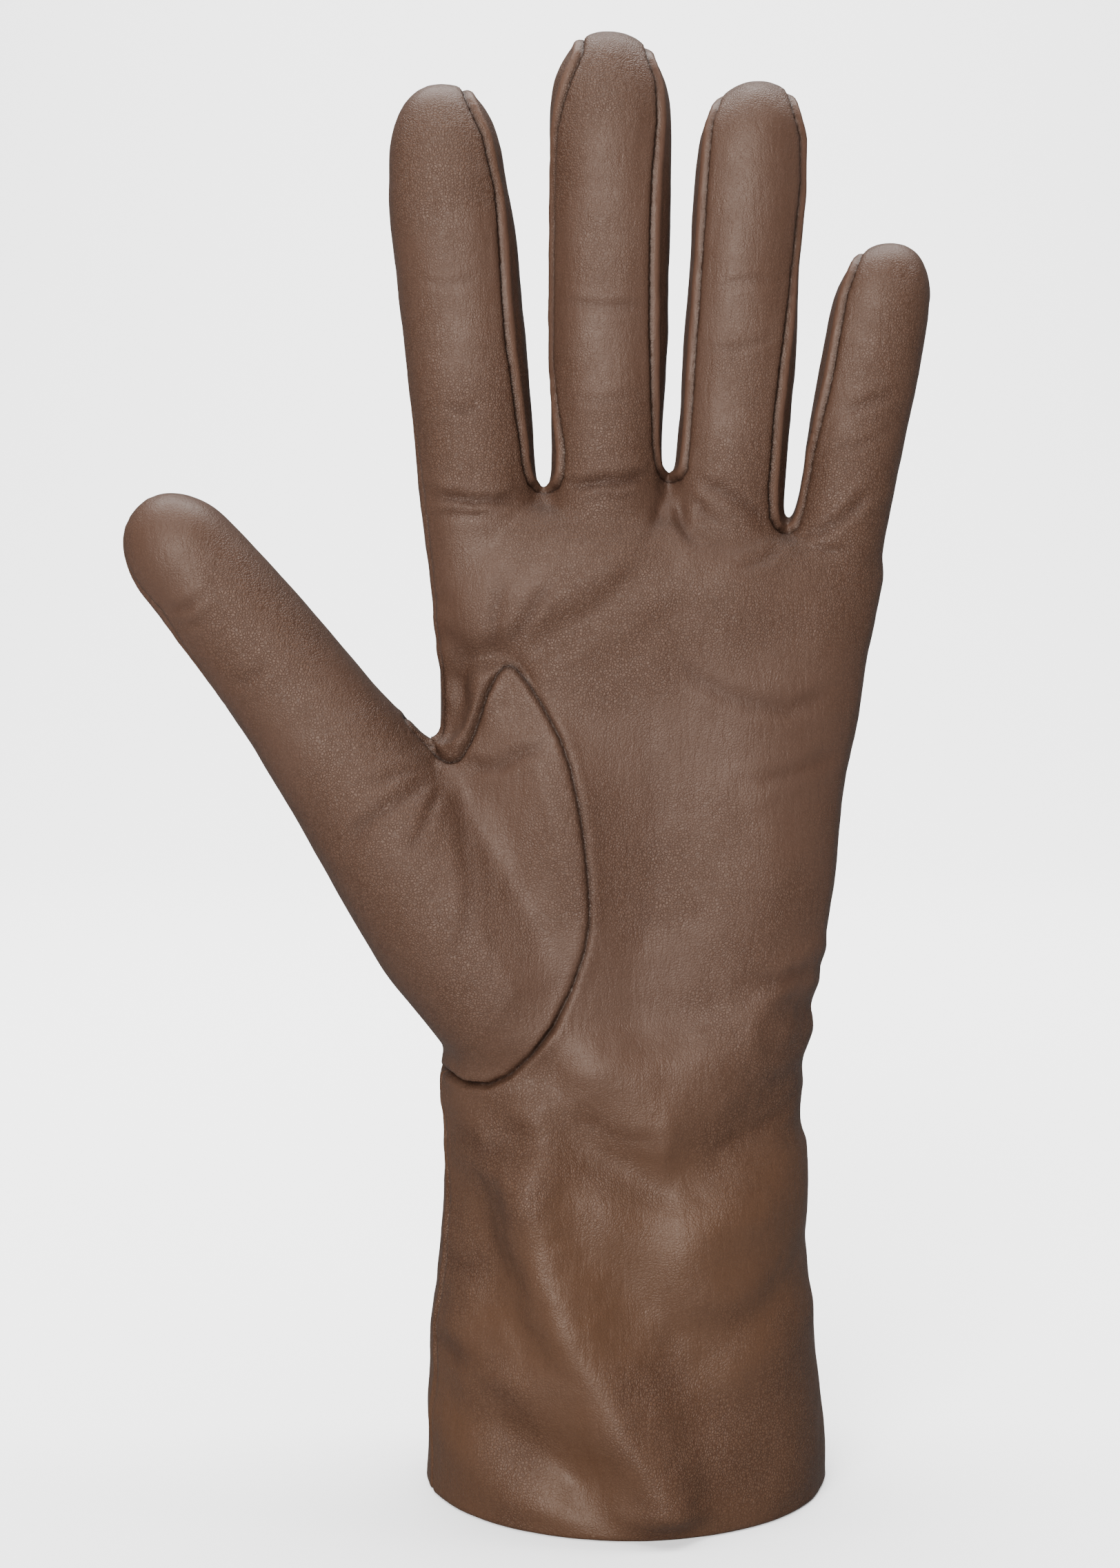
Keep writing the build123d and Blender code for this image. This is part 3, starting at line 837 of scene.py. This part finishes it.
def leather_skin():
    """The whole skin with its seams, panels and folds: one mesh with its material numbers set by piece."""
    bm = hand_mesh(GRID, SKIN_ROUNDS)
    swell(bm)
    blend_root(bm, ROOT_ROUNDS)
    tree = sew(bm)
    cut_zones(bm)
    trim_below(bm, HEM_HEIGHT)
    centres = np.array([f.calc_center_median() for f in bm.faces])
    panel, zone = panel_of(centres), zone_of(centres)
    for face, number, place in zip(bm.faces, panel, zone):
        face.material_index = int(number + len(PANELS) * place)
    round_off(bm)

    co, normal = points_of(bm), normals_of(bm)
    vert_panel = panel_of(co)
    away = seam_distance(tree, co)
    folds, crease_shade_depth = fold_lift(co, normal)
    soft = 0.28 * wander(co, 16.0, 5) + 0.12 * wander(co, 5.5, 6)
    lift = seam_lift(away, vert_panel) + folds * ease(away / 1.0) + soft
    lines = chains(bm)
    holes = needle_holes(lines, co, PITCH)
    beside = away < 2.5
    pinch = np.zeros(len(co))
    pinch[beside] = [holes.find(p)[2] for p in co[beside]]
    lift -= beside * 0.26 * np.exp(-((pinch / 0.8) ** 2))
    move(bm, co + normal * lift[:, None])
    sewn = stitch_places(lines, co, points_of(bm), normals_of(bm), PITCH, 1.5)

    mesh = bpy.data.meshes.new("glove_skin")
    bm.to_mesh(mesh)
    bm.free()
    write(mesh, "seam", np.exp(-((away / 0.27) ** 2)))
    # Rolled strips beside the fourchette seams: their colour is lightened there as a painted highlight, and
    # their grain is calmed
    strip = (vert_panel > 0) & (vert_panel < 4)
    write(mesh, "roll", strip * np.exp(-(((away - 1.3) / 0.9) ** 2)))
    # Crease depth, which the leather's colour darkens as painted shade in the creases
    write(mesh, "crease", crease_shade_depth)
    shade = mesh.attributes.new("shade", "FLOAT_VECTOR", "POINT")
    facing = np.array([v.normal for v in mesh.vertices], np.float32)
    shade.data.foreach_set("vector", facing.ravel())
    return mesh, sewn


def write(mesh, name, values):
    """Stores one number for each vertex."""
    attribute = mesh.attributes.new(name, "FLOAT", "POINT")
    attribute.data.foreach_set("value", np.asarray(values, np.float32))


def chains(bm):
    """The marked seams as lines of vertex numbers."""
    left = dict.fromkeys(e for e in bm.edges if e.seam)
    lines = []
    while left:
        edge = next(iter(left))
        del left[edge]
        line = [edge.verts[0], edge.verts[1]]
        for end in (1, 0):
            while True:
                tail = line[-1] if end else line[0]
                step = [e for e in tail.link_edges if e in left]
                if not step:
                    break
                del left[step[0]]
                following = step[0].other_vert(tail)
                line.append(following) if end else line.insert(0, following)
        if len(line) > 4:
            lines.append([v.index for v in line])
    return lines


def along_line(line, co):
    """Distance run along a line of vertices."""
    return np.concatenate([[0], np.cumsum(np.linalg.norm(np.diff(co[line], axis=0), axis=1))])


def needle_holes(lines, co, pitch):
    """Places where the thread goes through the leather."""
    holes = []
    for line in lines:
        run = along_line(line, co)
        for s in np.arange(0, run[-1], pitch):
            holes.append([np.interp(s, run, co[line, i]) for i in range(3)])
    tree = kdtree.KDTree(len(holes))
    for i, hole in enumerate(holes):
        tree.insert(hole, i)
    tree.balance()
    return tree


def stitch_places(lines, before, after, normals, pitch, length):
    """Middles, directions and outward normals of the stitches between the needle holes."""
    out = []
    for line in lines:
        run = along_line(line, before)

        def at(values, where):
            return np.array([np.interp(where, run, values[line, i]) for i in range(3)])

        for s in np.arange(pitch / 2, run[-1] - pitch / 3, pitch):
            ahead = at(after, min(run[-1], s + length / 2)) - at(after, max(0, s - length / 2))
            if np.linalg.norm(ahead) > length / 3:
                out.append((at(after, s), ahead / np.linalg.norm(ahead), at(normals, s)))
    return out


# --- Materials ---


class Finish:
    """A node material under construction, with the few moves that build it."""

    def __init__(self, name):
        self.material = bpy.data.materials.new(name)
        self.material.use_nodes = True
        self.nodes = self.material.node_tree.nodes
        self.join = self.material.node_tree.links.new
        self.surface = self.nodes["Principled BSDF"]

    def add(self, kind, **values):
        """A node with its settings and its unlinked inputs."""
        node = self.nodes.new(kind)
        for key, value in values.items():
            if key in node.inputs:
                node.inputs[key].default_value = value
            else:
                setattr(node, key, value)
        return node

    def spread(self, source, low, high, to_low, to_high):
        """Maps a value from one span to another, with soft ends."""
        node = self.add("ShaderNodeMapRange", interpolation_type="SMOOTHSTEP")
        for key, value in (("From Min", low), ("From Max", high), ("To Min", to_low), ("To Max", to_high)):
            node.inputs[key].default_value = value
        self.join(source, node.inputs["Value"])
        return node.outputs["Result"]

    def times(self, first, second):
        """Product of two values; the second may be a number."""
        node = self.add("ShaderNodeMath", operation="MULTIPLY")
        self.join(first, node.inputs[0])
        if isinstance(second, float):
            node.inputs[1].default_value = second
        else:
            self.join(second, node.inputs[1])
        return node.outputs["Value"]

    def tint(self, colour, share, other, blend_type="MIX"):
        """Blends a colour towards another by a share."""
        node = self.add("ShaderNodeMixRGB", blend_type=blend_type, Color2=other)
        self.join(share, node.inputs["Fac"])
        self.join(colour, node.inputs["Color1"])
        return node.outputs["Color"]

    def bump(self, height, distance, strength, under=None):
        """Bump laid over another bump."""
        node = self.add("ShaderNodeBump", Strength=strength, Distance=distance)
        self.join(height, node.inputs["Height"])
        if under:
            self.join(under, node.inputs["Normal"])
        return node.outputs["Normal"]


CUFF_BROWN, HAND_BROWN = (0.0375, 0.0178, 0.0092, 1), (0.0365, 0.0190, 0.0125, 1)
WORN_BROWN, SEAM_DARK = (0.046, 0.0245, 0.0155, 1), (0.004, 0.0016, 0.001, 1)


def leather():
    """Brown nappa: a net of fine lines round small pebbles, satin shine, darker in seams, with painted shade in
    the creases and a painted highlight on the rolled strips.
    """
    kit = Finish("nappa_leather")
    surface = kit.surface
    place = kit.add("ShaderNodeTexCoord").outputs["Object"]
    warp = kit.add("ShaderNodeTexNoise", Scale=330.0, Detail=3.0)
    bent = kit.add("ShaderNodeMixRGB", blend_type="ADD", Fac=0.0011)
    kit.join(place, warp.inputs["Vector"])
    kit.join(place, bent.inputs["Color1"])
    kit.join(warp.outputs["Color"], bent.inputs["Color2"])
    grain = kit.add("ShaderNodeTexVoronoi", feature="DISTANCE_TO_EDGE", Scale=1900.0)
    kit.join(bent.outputs["Color"], grain.inputs["Vector"])
    pebble = kit.spread(grain.outputs["Distance"], 0.0, 0.26, 0.0, 1.0)
    small = kit.add("ShaderNodeTexVoronoi", feature="SMOOTH_F1", Scale=2700.0, Smoothness=0.3)
    kit.join(bent.outputs["Color"], small.inputs["Vector"])
    speck = kit.spread(small.outputs["Distance"], 0.2, 0.8, 1.0, 0.0)
    upright = kit.add("ShaderNodeMapping")
    upright.inputs["Scale"].default_value = (1.0, 0.6, 0.22)
    kit.join(bent.outputs["Color"], upright.inputs["Vector"])
    fine = kit.add("ShaderNodeTexNoise", Scale=900.0, Detail=3.0, Distortion=0.4)
    kit.join(upright.outputs["Vector"], fine.inputs["Vector"])
    wrinkle = kit.spread(fine.outputs["Fac"], 0.32, 0.55, 0.0, 1.0)
    swell_noise = kit.add("ShaderNodeTexNoise", Scale=190.0, Detail=4.0, Roughness=0.55)
    patch = kit.add("ShaderNodeTexNoise", Scale=30.0, Detail=3.0)
    for texture in (swell_noise, patch):
        kit.join(place, texture.inputs["Vector"])
    seam = kit.add("ShaderNodeAttribute", attribute_name="seam").outputs["Fac"]
    roll = kit.add("ShaderNodeAttribute", attribute_name="roll").outputs["Fac"]
    crease = kit.add("ShaderNodeAttribute", attribute_name="crease").outputs["Fac"]

    open_grain = kit.spread(patch.outputs["Fac"], 0.4, 0.62, 0.3, 1.0)
    calm = kit.spread(roll, 0.1, 0.9, 1.0, 0.35)
    depth = kit.times(open_grain, calm)
    gap = kit.add("ShaderNodeMath", operation="SUBTRACT")
    gap.inputs[0].default_value = 1.0
    kit.join(pebble, gap.inputs[1])
    gap_share = kit.times(kit.times(gap.outputs["Value"], depth), 0.7)

    height = kit.add("ShaderNodeSeparateXYZ")
    kit.join(place, height.inputs["Vector"])
    tone = kit.add("ShaderNodeMixRGB", Color1=CUFF_BROWN, Color2=HAND_BROWN)
    kit.join(kit.spread(height.outputs["Z"], 0.05, 0.1, 0.0, 1.0), tone.inputs["Fac"])
    mottle = kit.spread(patch.outputs["Fac"], 0.35, 0.7, 0.0, 0.5)
    colour = kit.tint(tone.outputs["Color"], mottle, WORN_BROWN)
    colour = kit.tint(colour, gap_share, (0.5, 0.4, 0.34, 1), "MULTIPLY")
    # Painted shade: the colour is multiplied darker in the creases
    colour = kit.tint(colour, crease, (0.6, 0.5, 0.45, 1), "MULTIPLY")
    # Painted highlight: the colour is lighter on the rolled strips beside the seams
    colour = kit.tint(colour, kit.times(roll, 0.25), (0.062, 0.031, 0.02, 1))
    colour = kit.tint(colour, kit.times(seam, 0.94), SEAM_DARK)
    kit.join(colour, surface.inputs["Base Color"])

    shine = kit.spread(swell_noise.outputs["Fac"], 0.3, 0.7, 0.44, 0.52)
    kit.join(shine, surface.inputs["Roughness"])

    under = kit.bump(kit.times(speck, calm), 0.00004, 0.5)
    under = kit.bump(kit.times(pebble, depth), 0.0001, 0.65, under)
    under = kit.bump(kit.times(wrinkle, calm), 0.00007, 0.5, under)
    under = kit.bump(swell_noise.outputs["Fac"], 0.0002, 0.4, under)
    kit.join(under, surface.inputs["Normal"])
    surface.inputs["Specular IOR Level"].default_value = 0.18
    surface.inputs["Specular Tint"].default_value = (1.0, 0.86, 0.76, 1)
    return kit.material


def knit():
    """Brown lining, finely knitted."""
    kit = Finish("lining_knit")
    surface = kit.surface
    place = kit.add("ShaderNodeTexCoord")
    ribs = kit.add("ShaderNodeTexWave", Scale=230.0, Distortion=1.2, Detail=2.0)
    ribs.bands_direction = "X"
    rows = kit.add("ShaderNodeTexWave", Scale=300.0, Distortion=1.0, Detail=2.0)
    rows.bands_direction = "Z"
    fuzz = kit.add("ShaderNodeTexNoise", Scale=900.0, Detail=4.0)
    for texture in (ribs, rows, fuzz):
        kit.join(place.outputs["Object"], texture.inputs["Vector"])
    loops = kit.times(ribs.outputs["Fac"], rows.outputs["Fac"])
    tone = kit.add("ShaderNodeMixRGB", Color1=(0.035, 0.019, 0.011, 1), Color2=(0.08, 0.046, 0.028, 1))
    kit.join(loops, tone.inputs["Fac"])
    kit.join(tone.outputs["Color"], surface.inputs["Base Color"])
    under = kit.bump(loops, 0.0004, 0.8)
    kit.join(kit.bump(fuzz.outputs["Fac"], 0.0002, 0.4, under), surface.inputs["Normal"])
    surface.inputs["Roughness"].default_value = 0.9
    surface.inputs["Sheen Weight"].default_value = 0.3
    return kit.material


def thread():
    """Twisted dark brown thread."""
    kit = Finish("sewing_thread")
    surface = kit.surface
    place = kit.add("ShaderNodeTexCoord")
    twist = kit.add("ShaderNodeTexWave", Scale=1500.0, Distortion=0.6)
    twist.bands_direction = "DIAGONAL"
    kit.join(place.outputs["Object"], twist.inputs["Vector"])
    tone = kit.add("ShaderNodeMixRGB", Color1=(0.006, 0.003, 0.002, 1), Color2=(0.02, 0.01, 0.007, 1))
    kit.join(twist.outputs["Fac"], tone.inputs["Fac"])
    kit.join(tone.outputs["Color"], surface.inputs["Base Color"])
    kit.join(kit.bump(twist.outputs["Fac"], 0.00008, 0.6), surface.inputs["Normal"])
    surface.inputs["Roughness"].default_value = 0.85
    surface.inputs["Specular IOR Level"].default_value = 0.03
    return kit.material


LEATHER, KNIT, THREAD = leather(), knit(), thread()

# --- Pieces ---


def finger_point(name, height):
    """Point on a finger's axis, in metres."""
    (x, z), lean, _ = FINGER_FRAMES[name]
    turn = math.radians(lean)
    return ((x + height * math.sin(turn)) * MM, 0.0, (z + height * math.cos(turn)) * MM)


def thumb_point(height):
    """Point on the thumb's axis, in metres."""
    turn = math.radians(THUMB_LEAN)
    return (
        (THUMB_ROOT[0] + height * math.sin(turn)) * MM,
        0.0,
        (THUMB_ROOT[1] + height * math.cos(turn)) * MM,
    )


def zone_bend(zone):
    """The two bodies a stretch bends between, and where its bend starts and ends."""
    if zone == 0:
        return "cuff", "hand", (0, 0, WRIST_BEND[0] * MM), (0, 0, WRIST_BEND[1] * MM)
    if zone == 13:
        return "hand", "thumb_base", thumb_point(THUMB_START), thumb_point(THUMB_BASE_FOLD + 8)
    if zone == 14:
        return "thumb_base", "thumb_tip", thumb_point(THUMB_TIP_FOLD - 8), thumb_point(THUMB_TIP_FOLD + 8)
    name = list(FINGER_FRAMES)[(zone - 1) // 3]
    step = (zone - 1) % 3
    length = FINGER_FRAMES[name][2]
    start, middle, upper = zone_heights(name)
    if step == 0:
        return "hand", f"{name}_base", finger_point(name, start), finger_point(name, min(middle, 14))
    fold = (MID_FOLD, TIP_FOLD)[step - 1] * length
    low = (middle, upper)[step - 1]
    reach = min(BEND_REACH, fold - low)
    bodies = (f"{name}_base", f"{name}_mid") if step == 1 else (f"{name}_mid", f"{name}_tip")
    return (*bodies, finger_point(name, fold - reach), finger_point(name, fold + reach))


def zone_name(zone):
    """Plain name of a moving stretch."""
    if zone == 0:
        return "hand"
    if zone > 12:
        return ("thumb_base", "thumb_tip")[zone - 13]
    return f"{list(FINGER_FRAMES)[(zone - 1) // 3]}_{('base', 'mid', 'tip')[(zone - 1) % 3]}"


def bend(piece, zone):
    """Looks up the two bodies that a piece's stretch joins, without using them, and bakes the piece's placement
    into its mesh.
    """
    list(zone_bend(zone))
    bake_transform(piece)


def dress(piece, material):
    """Gives a finished piece its material."""
    piece.data.materials.clear()
    piece.data.materials.append(material)


def to_metres(mesh):
    """Brings a finished mesh from millimetres to metres."""
    mesh.transform(Matrix.Scale(MM, 4))


def fold_hem(bm):
    """Rolls the leather's lower edge inwards and up, as the hem is turned."""
    edges = [e for e in bm.edges if e.is_boundary and e.verts[0].co.z < 1.2 and e.verts[1].co.z < 1.2]
    ring = {v: (v.co.copy(), Vector((v.co.x, v.co.y, 0)).normalized()) for e in edges for v in e.verts}
    steps = ((0.18, 0.3), (0.55, 0.06), (1.0, 0.0), (1.5, 0.08), (1.9, 0.4), (2.0, 1.4))
    for inset, height in steps:
        made = bmesh.ops.extrude_edge_only(bm, edges=edges)["geom"]
        fresh = {}
        for old in ring:
            for e in old.link_edges:
                other = e.other_vert(old)
                if other in made and other not in ring:
                    fresh[other] = ring[old]
                    place, out = ring[old]
                    other.co = Vector((place.x, place.y, height)) - out * inset
        edges = [g for g in made if isinstance(g, bmesh.types.BMEdge) and set(g.verts) <= set(fresh)]
        ring = fresh
    round_off(bm)


def split_up(mesh, count):
    """Separates a mesh into one object for each of its face numbers."""
    for number in range(count):
        mesh.materials.append(bpy.data.materials.new(f"part_{number}"))
    whole = bpy.data.objects.new(mesh.name, mesh)
    bpy.context.collection.objects.link(whole)
    for other in bpy.context.selected_objects:
        other.select_set(False)
    bpy.context.view_layer.objects.active = whole
    whole.select_set(True)
    bpy.ops.object.mode_set(mode="EDIT")
    bpy.ops.mesh.select_all(action="SELECT")
    bpy.ops.mesh.separate(type="MATERIAL")
    bpy.ops.object.mode_set(mode="OBJECT")
    found = {}
    for piece in list(bpy.context.selected_objects):
        if not piece.data.polygons:
            bpy.data.objects.remove(piece)
            continue
        slot = piece.data.materials[piece.data.polygons[0].material_index]
        found[int(slot.name.split("_")[1].split(".")[0])] = piece
    for piece in found.values():
        piece.data.materials.clear()
    for material in [m for m in bpy.data.materials if m.name.startswith("part_")]:
        bpy.data.materials.remove(material)
    return found


def panel_parts():
    """CAD nodes that each leather piece stands for, by stretch and panel."""
    parts = {(0, "trank"): ["cuff_trank", "wrist_trank", "hand_trank"], (0, "thumb"): ["thumb_root_leather"]}
    for gap, name in enumerate(("index_middle", "middle_ring", "ring_little")):
        parts[(0, f"fourchette_{gap}")] = [f"{name}_crotch_fourchette"]
    for zone in range(1, 13):
        name = zone_name(zone)
        parts[(zone, "trank")] = [f"{name}_trank"]
        parts[(zone, "fourchette")] = [f"{name}_fourchette"]
    parts[(13, "thumb")] = ["thumb_base_leather"]
    parts[(14, "thumb")] = ["thumb_tip_leather"]
    return parts


def finish_skin(mesh, parts):
    """Names and dresses every leather piece."""
    merged = {}
    for number, piece in sorted(split_up(mesh, len(PANELS) * 15).items()):
        panel, zone = PANELS[number % len(PANELS)], number // len(PANELS)
        if zone and panel.startswith("fourchette"):
            panel = "fourchette"
        merged.setdefault((zone, panel), []).append(piece)
    for (zone, panel), found in merged.items():
        piece = found[0]
        if len(found) > 1:
            for other in bpy.context.selected_objects:
                other.select_set(False)
            for other in found:
                other.select_set(True)
            bpy.context.view_layer.objects.active = piece
            bpy.ops.object.join()
        name = f"{zone_name(zone)}_{panel}"
        piece.name = name
        piece.data.name = name
        if (zone, panel) == (0, "trank"):
            bm = bmesh.new()
            bm.from_mesh(piece.data)
            bm.normal_update()
            fold_hem(bm)
            bm.normal_update()
            bm.to_mesh(piece.data)
            bm.free()
        to_metres(piece.data)
        dress(piece, LEATHER)
        facing = np.empty(len(piece.data.vertices) * 3, np.float32)
        piece.data.attributes["shade"].data.foreach_get("vector", facing)
        facing = facing.reshape(-1, 3)
        actual = np.array([v.normal for v in piece.data.vertices], np.float32)
        low = np.array([v.co.z for v in piece.data.vertices]) < 0.0012
        facing[low] = actual[low]
        piece.data.normals_split_custom_set_from_vertices(facing)
        if (zone, panel) in parts:
            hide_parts(*parts[(zone, panel)])
        bend(piece, zone)


def lining_pieces():
    """The knitted lining: the same form drawn in by the leather's thickness, split where the glove bends."""
    bm = hand_mesh(LINING_GRID, LINING_ROUNDS, LINING_INSET)
    swell(bm)
    blend_root(bm, LINING_ROOT_ROUNDS)
    co, normal = points_of(bm), normals_of(bm)
    move(bm, co + normal * fold_lift(co, normal)[0][:, None])
    trim_below(bm, LINING_START)
    cut_zones(bm)
    centres = np.array([f.calc_center_median() for f in bm.faces])
    for face, zone in zip(bm.faces, zone_of(centres)):
        face.material_index = int(zone)
    bmesh.ops.reverse_faces(bm, faces=bm.faces)
    whole = bpy.data.meshes.new("lining")
    bm.to_mesh(whole)
    bm.free()
    for zone, piece in sorted(split_up(whole, 15).items()):
        name = f"{zone_name(zone)}_lining"
        piece.name = piece.data.name = name
        part = bmesh.new()
        part.from_mesh(piece.data)
        bmesh.ops.solidify(part, geom=part.faces[:], thickness=-0.5)
        for face in part.faces:
            face.material_index = 0
        round_off(part)
        part.to_mesh(piece.data)
        part.free()
        to_metres(piece.data)
        dress(piece, KNIT)
        nodes = ["cuff_lining", "wrist_lining", "hand_lining"] if zone == 0 else [name]
        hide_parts(*nodes)
        bend(piece, zone)


def outwards(co):
    """Level directions from the glove's middle to each point."""
    level = co * (1, 1, 0)
    return level / np.linalg.norm(level, axis=1)[:, None]


def cuff_point(turn, height, inset):
    """Point inside the cuff's wall at an angle."""
    _, left, right, half_depth, squareness = min(CUFF_RAIL, key=lambda row: abs(row[0] - height))
    x, y = corner(turn, (right - left) / 2 - inset, half_depth - inset, squareness)
    return Vector((x + (left + right) / 2, y, height))


def hem_facing():
    """The hem's leather turned up inside the cuff."""
    heights = (1.2, 5.0, 9.0, HEM_SEWN, 15.4, 16.2, 16.2, 15.4, 9.0, 1.2)
    insets = (2.3,) * 5 + (2.5, 3.0) + (HEM_INSIDE,) * 3
    bm = bmesh.new()
    grow(bm, 10, lambda step, turn: cuff_point(turn, heights[step], insets[step]), 120)
    bmesh.ops.delete(bm, geom=[f for f in bm.faces if len(f.verts) > 8], context="FACES_ONLY")
    ends = [e for e in bm.edges if e.is_boundary]
    bmesh.ops.bridge_loops(bm, edges=ends)
    bmesh.ops.recalc_face_normals(bm, faces=bm.faces)
    co = points_of(bm)
    out = outwards(co)
    move(bm, co + out * fold_lift(co, out)[0][:, None])
    round_off(bm)
    piece = laid_out("hem_facing_leather", bm)
    for name in ("seam", "roll", "crease"):
        write(piece.data, name, np.zeros(len(piece.data.vertices)))
    to_metres(piece.data)
    dress(piece, LEATHER)
    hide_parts("hem_facing")
    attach(piece, "cuff")


def stitch(bm, place, ahead, out, length, thick):
    """One short stitch, pointed where it dives into the leather."""
    x = Vector(ahead).normalized()
    z = (Vector(out) - Vector(out).dot(x) * x).normalized()
    y = z.cross(x)
    turn = Matrix((x, y, z)).transposed().to_4x4()
    size = Matrix.Diagonal((length / 2, thick, thick, 1.0))
    bmesh.ops.create_icosphere(
        bm, subdivisions=1, radius=1.0, matrix=Matrix.Translation(place) @ turn @ size
    )


def thread_piece(name, bm):
    """One piece of sewn thread."""
    round_off(bm)
    piece = laid_out(name, bm)
    to_metres(piece.data)
    dress(piece, THREAD)
    return piece


def thread_pieces(places):
    """Stitches down in the seams, one piece for each moving stretch."""
    sewn = {}
    for place, ahead, out in places:
        zone = int(zone_of(place[None])[0])
        if place[2] < 5.0:
            continue
        sewn.setdefault(zone, []).append((place - out * 0.06, ahead, out))
    nodes = {
        0: ["cuff_side_thread", "wrist_side_thread", "hand_side_thread", "thumb_seam_thread"],
        1: ["index_base_side_thread"],
        2: ["index_mid_side_thread"],
        3: ["index_tip_side_thread"],
    }
    for zone, stitches in sorted(sewn.items()):
        bm = bmesh.new()
        for place, ahead, out in stitches:
            stitch(bm, place, ahead, out, 1.6, 0.13)
        piece = thread_piece(f"{zone_name(zone)}_stitches", bm)
        if zone in nodes:
            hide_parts(*nodes[zone])
        bend(piece, zone)


def hem_thread():
    """Stitches that hold the turned hem, seen inside the cuff."""
    ring = np.array([cuff_point(math.radians(k), HEM_SEWN, HEM_INSIDE) for k in range(361)])
    inward = -outwards(ring)
    ring = ring - inward * fold_lift(ring, -inward)[0][:, None]
    bm = bmesh.new()
    for place, ahead, out in stitch_places([list(range(361))], ring, ring, inward, 3.0, 2.3):
        stitch(bm, place, ahead, out, 2.3, 0.22)
    piece = thread_piece("hem_stitches", bm)
    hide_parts("hem_thread")
    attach(piece, "cuff")


skin_mesh, stitches = leather_skin()
finish_skin(skin_mesh, panel_parts())
lining_pieces()
hem_facing()
thread_pieces(stitches)
hem_thread()

# --- Studio ---


def studio():
    """Pale floor that sweeps up behind, soft light from the upper left and a camera in front of the palm."""
    bm = bmesh.new()
    bmesh.ops.create_grid(bm, x_segments=1, y_segments=1, size=2.2)
    back = [e for e in bm.edges if all(v.co.y > 2 for v in e.verts)]
    wall = bmesh.ops.extrude_edge_only(bm, edges=back)["geom"]
    bmesh.ops.translate(bm, vec=(0, 0, 3.4), verts=[g for g in wall if isinstance(g, bmesh.types.BMVert)])
    bmesh.ops.bevel(bm, geom=back, affect="EDGES", offset=1.2, segments=24, profile=0.5, material=-1)
    round_off(bm)
    bmesh.ops.recalc_face_normals(bm, faces=bm.faces)
    floor = laid_out("floor", bm)
    kit = Finish("pale_floor")
    kit.surface.inputs["Base Color"].default_value = (0.9, 0.9, 0.9, 1)
    kit.surface.inputs["Roughness"].default_value = 0.95
    kit.surface.inputs["Specular IOR Level"].default_value = 0.1
    floor.data.materials.append(kit.material)
    floor.visible_glossy = False

    world = bpy.data.worlds.new("studio")
    world.use_nodes = True
    world.node_tree.nodes["Background"].inputs["Color"].default_value = (1, 1, 1, 1)
    world.node_tree.nodes["Background"].inputs["Strength"].default_value = 0.3
    bpy.context.scene.world = world
    for name, place, aim, size, power in (
        ("key", (-0.26, -0.95, 0.44), (0.0, 0.0, 0.11), 0.6, 33.0),
        ("top", (-0.1, -0.25, 1.1), (0.0, 0.0, 0.15), 0.4, 5.0),
        ("sweep", (0.0, 0.5, 1.5), (0.0, 1.9, 0.2), 1.6, 130.0),
    ):
        light = bpy.data.lights.new(name, "AREA")
        light.size = size
        light.energy = power
        lamp = bpy.data.objects.new(name, light)
        lamp.location = place
        lamp.rotation_euler = (Vector(aim) - Vector(place)).to_track_quat("-Z", "Y").to_euler()
        bpy.context.collection.objects.link(lamp)

    lens = bpy.data.cameras.new("camera")
    camera = bpy.data.objects.new("camera", lens)
    bpy.context.collection.objects.link(camera)
    # A level view camera: its lens slides down to frame the glove, so the fingers don't spread upwards
    reach, height = VIEW_DISTANCE * MM, VIEW_HEIGHT
    camera.location = (VIEW_CENTRE[0] * MM, -reach, VIEW_CENTRE[1] * MM)
    camera.rotation_euler = (math.radians(90), 0, 0)
    lens.sensor_fit = "VERTICAL"
    lens.sensor_height = 36.0
    lens.lens = 36.0 * reach / height
    lens.shift_y = (VIEW_MIDDLE - VIEW_CENTRE[1] * MM) / height
    lens.clip_start = 0.01
    bpy.context.scene.camera = camera


studio()
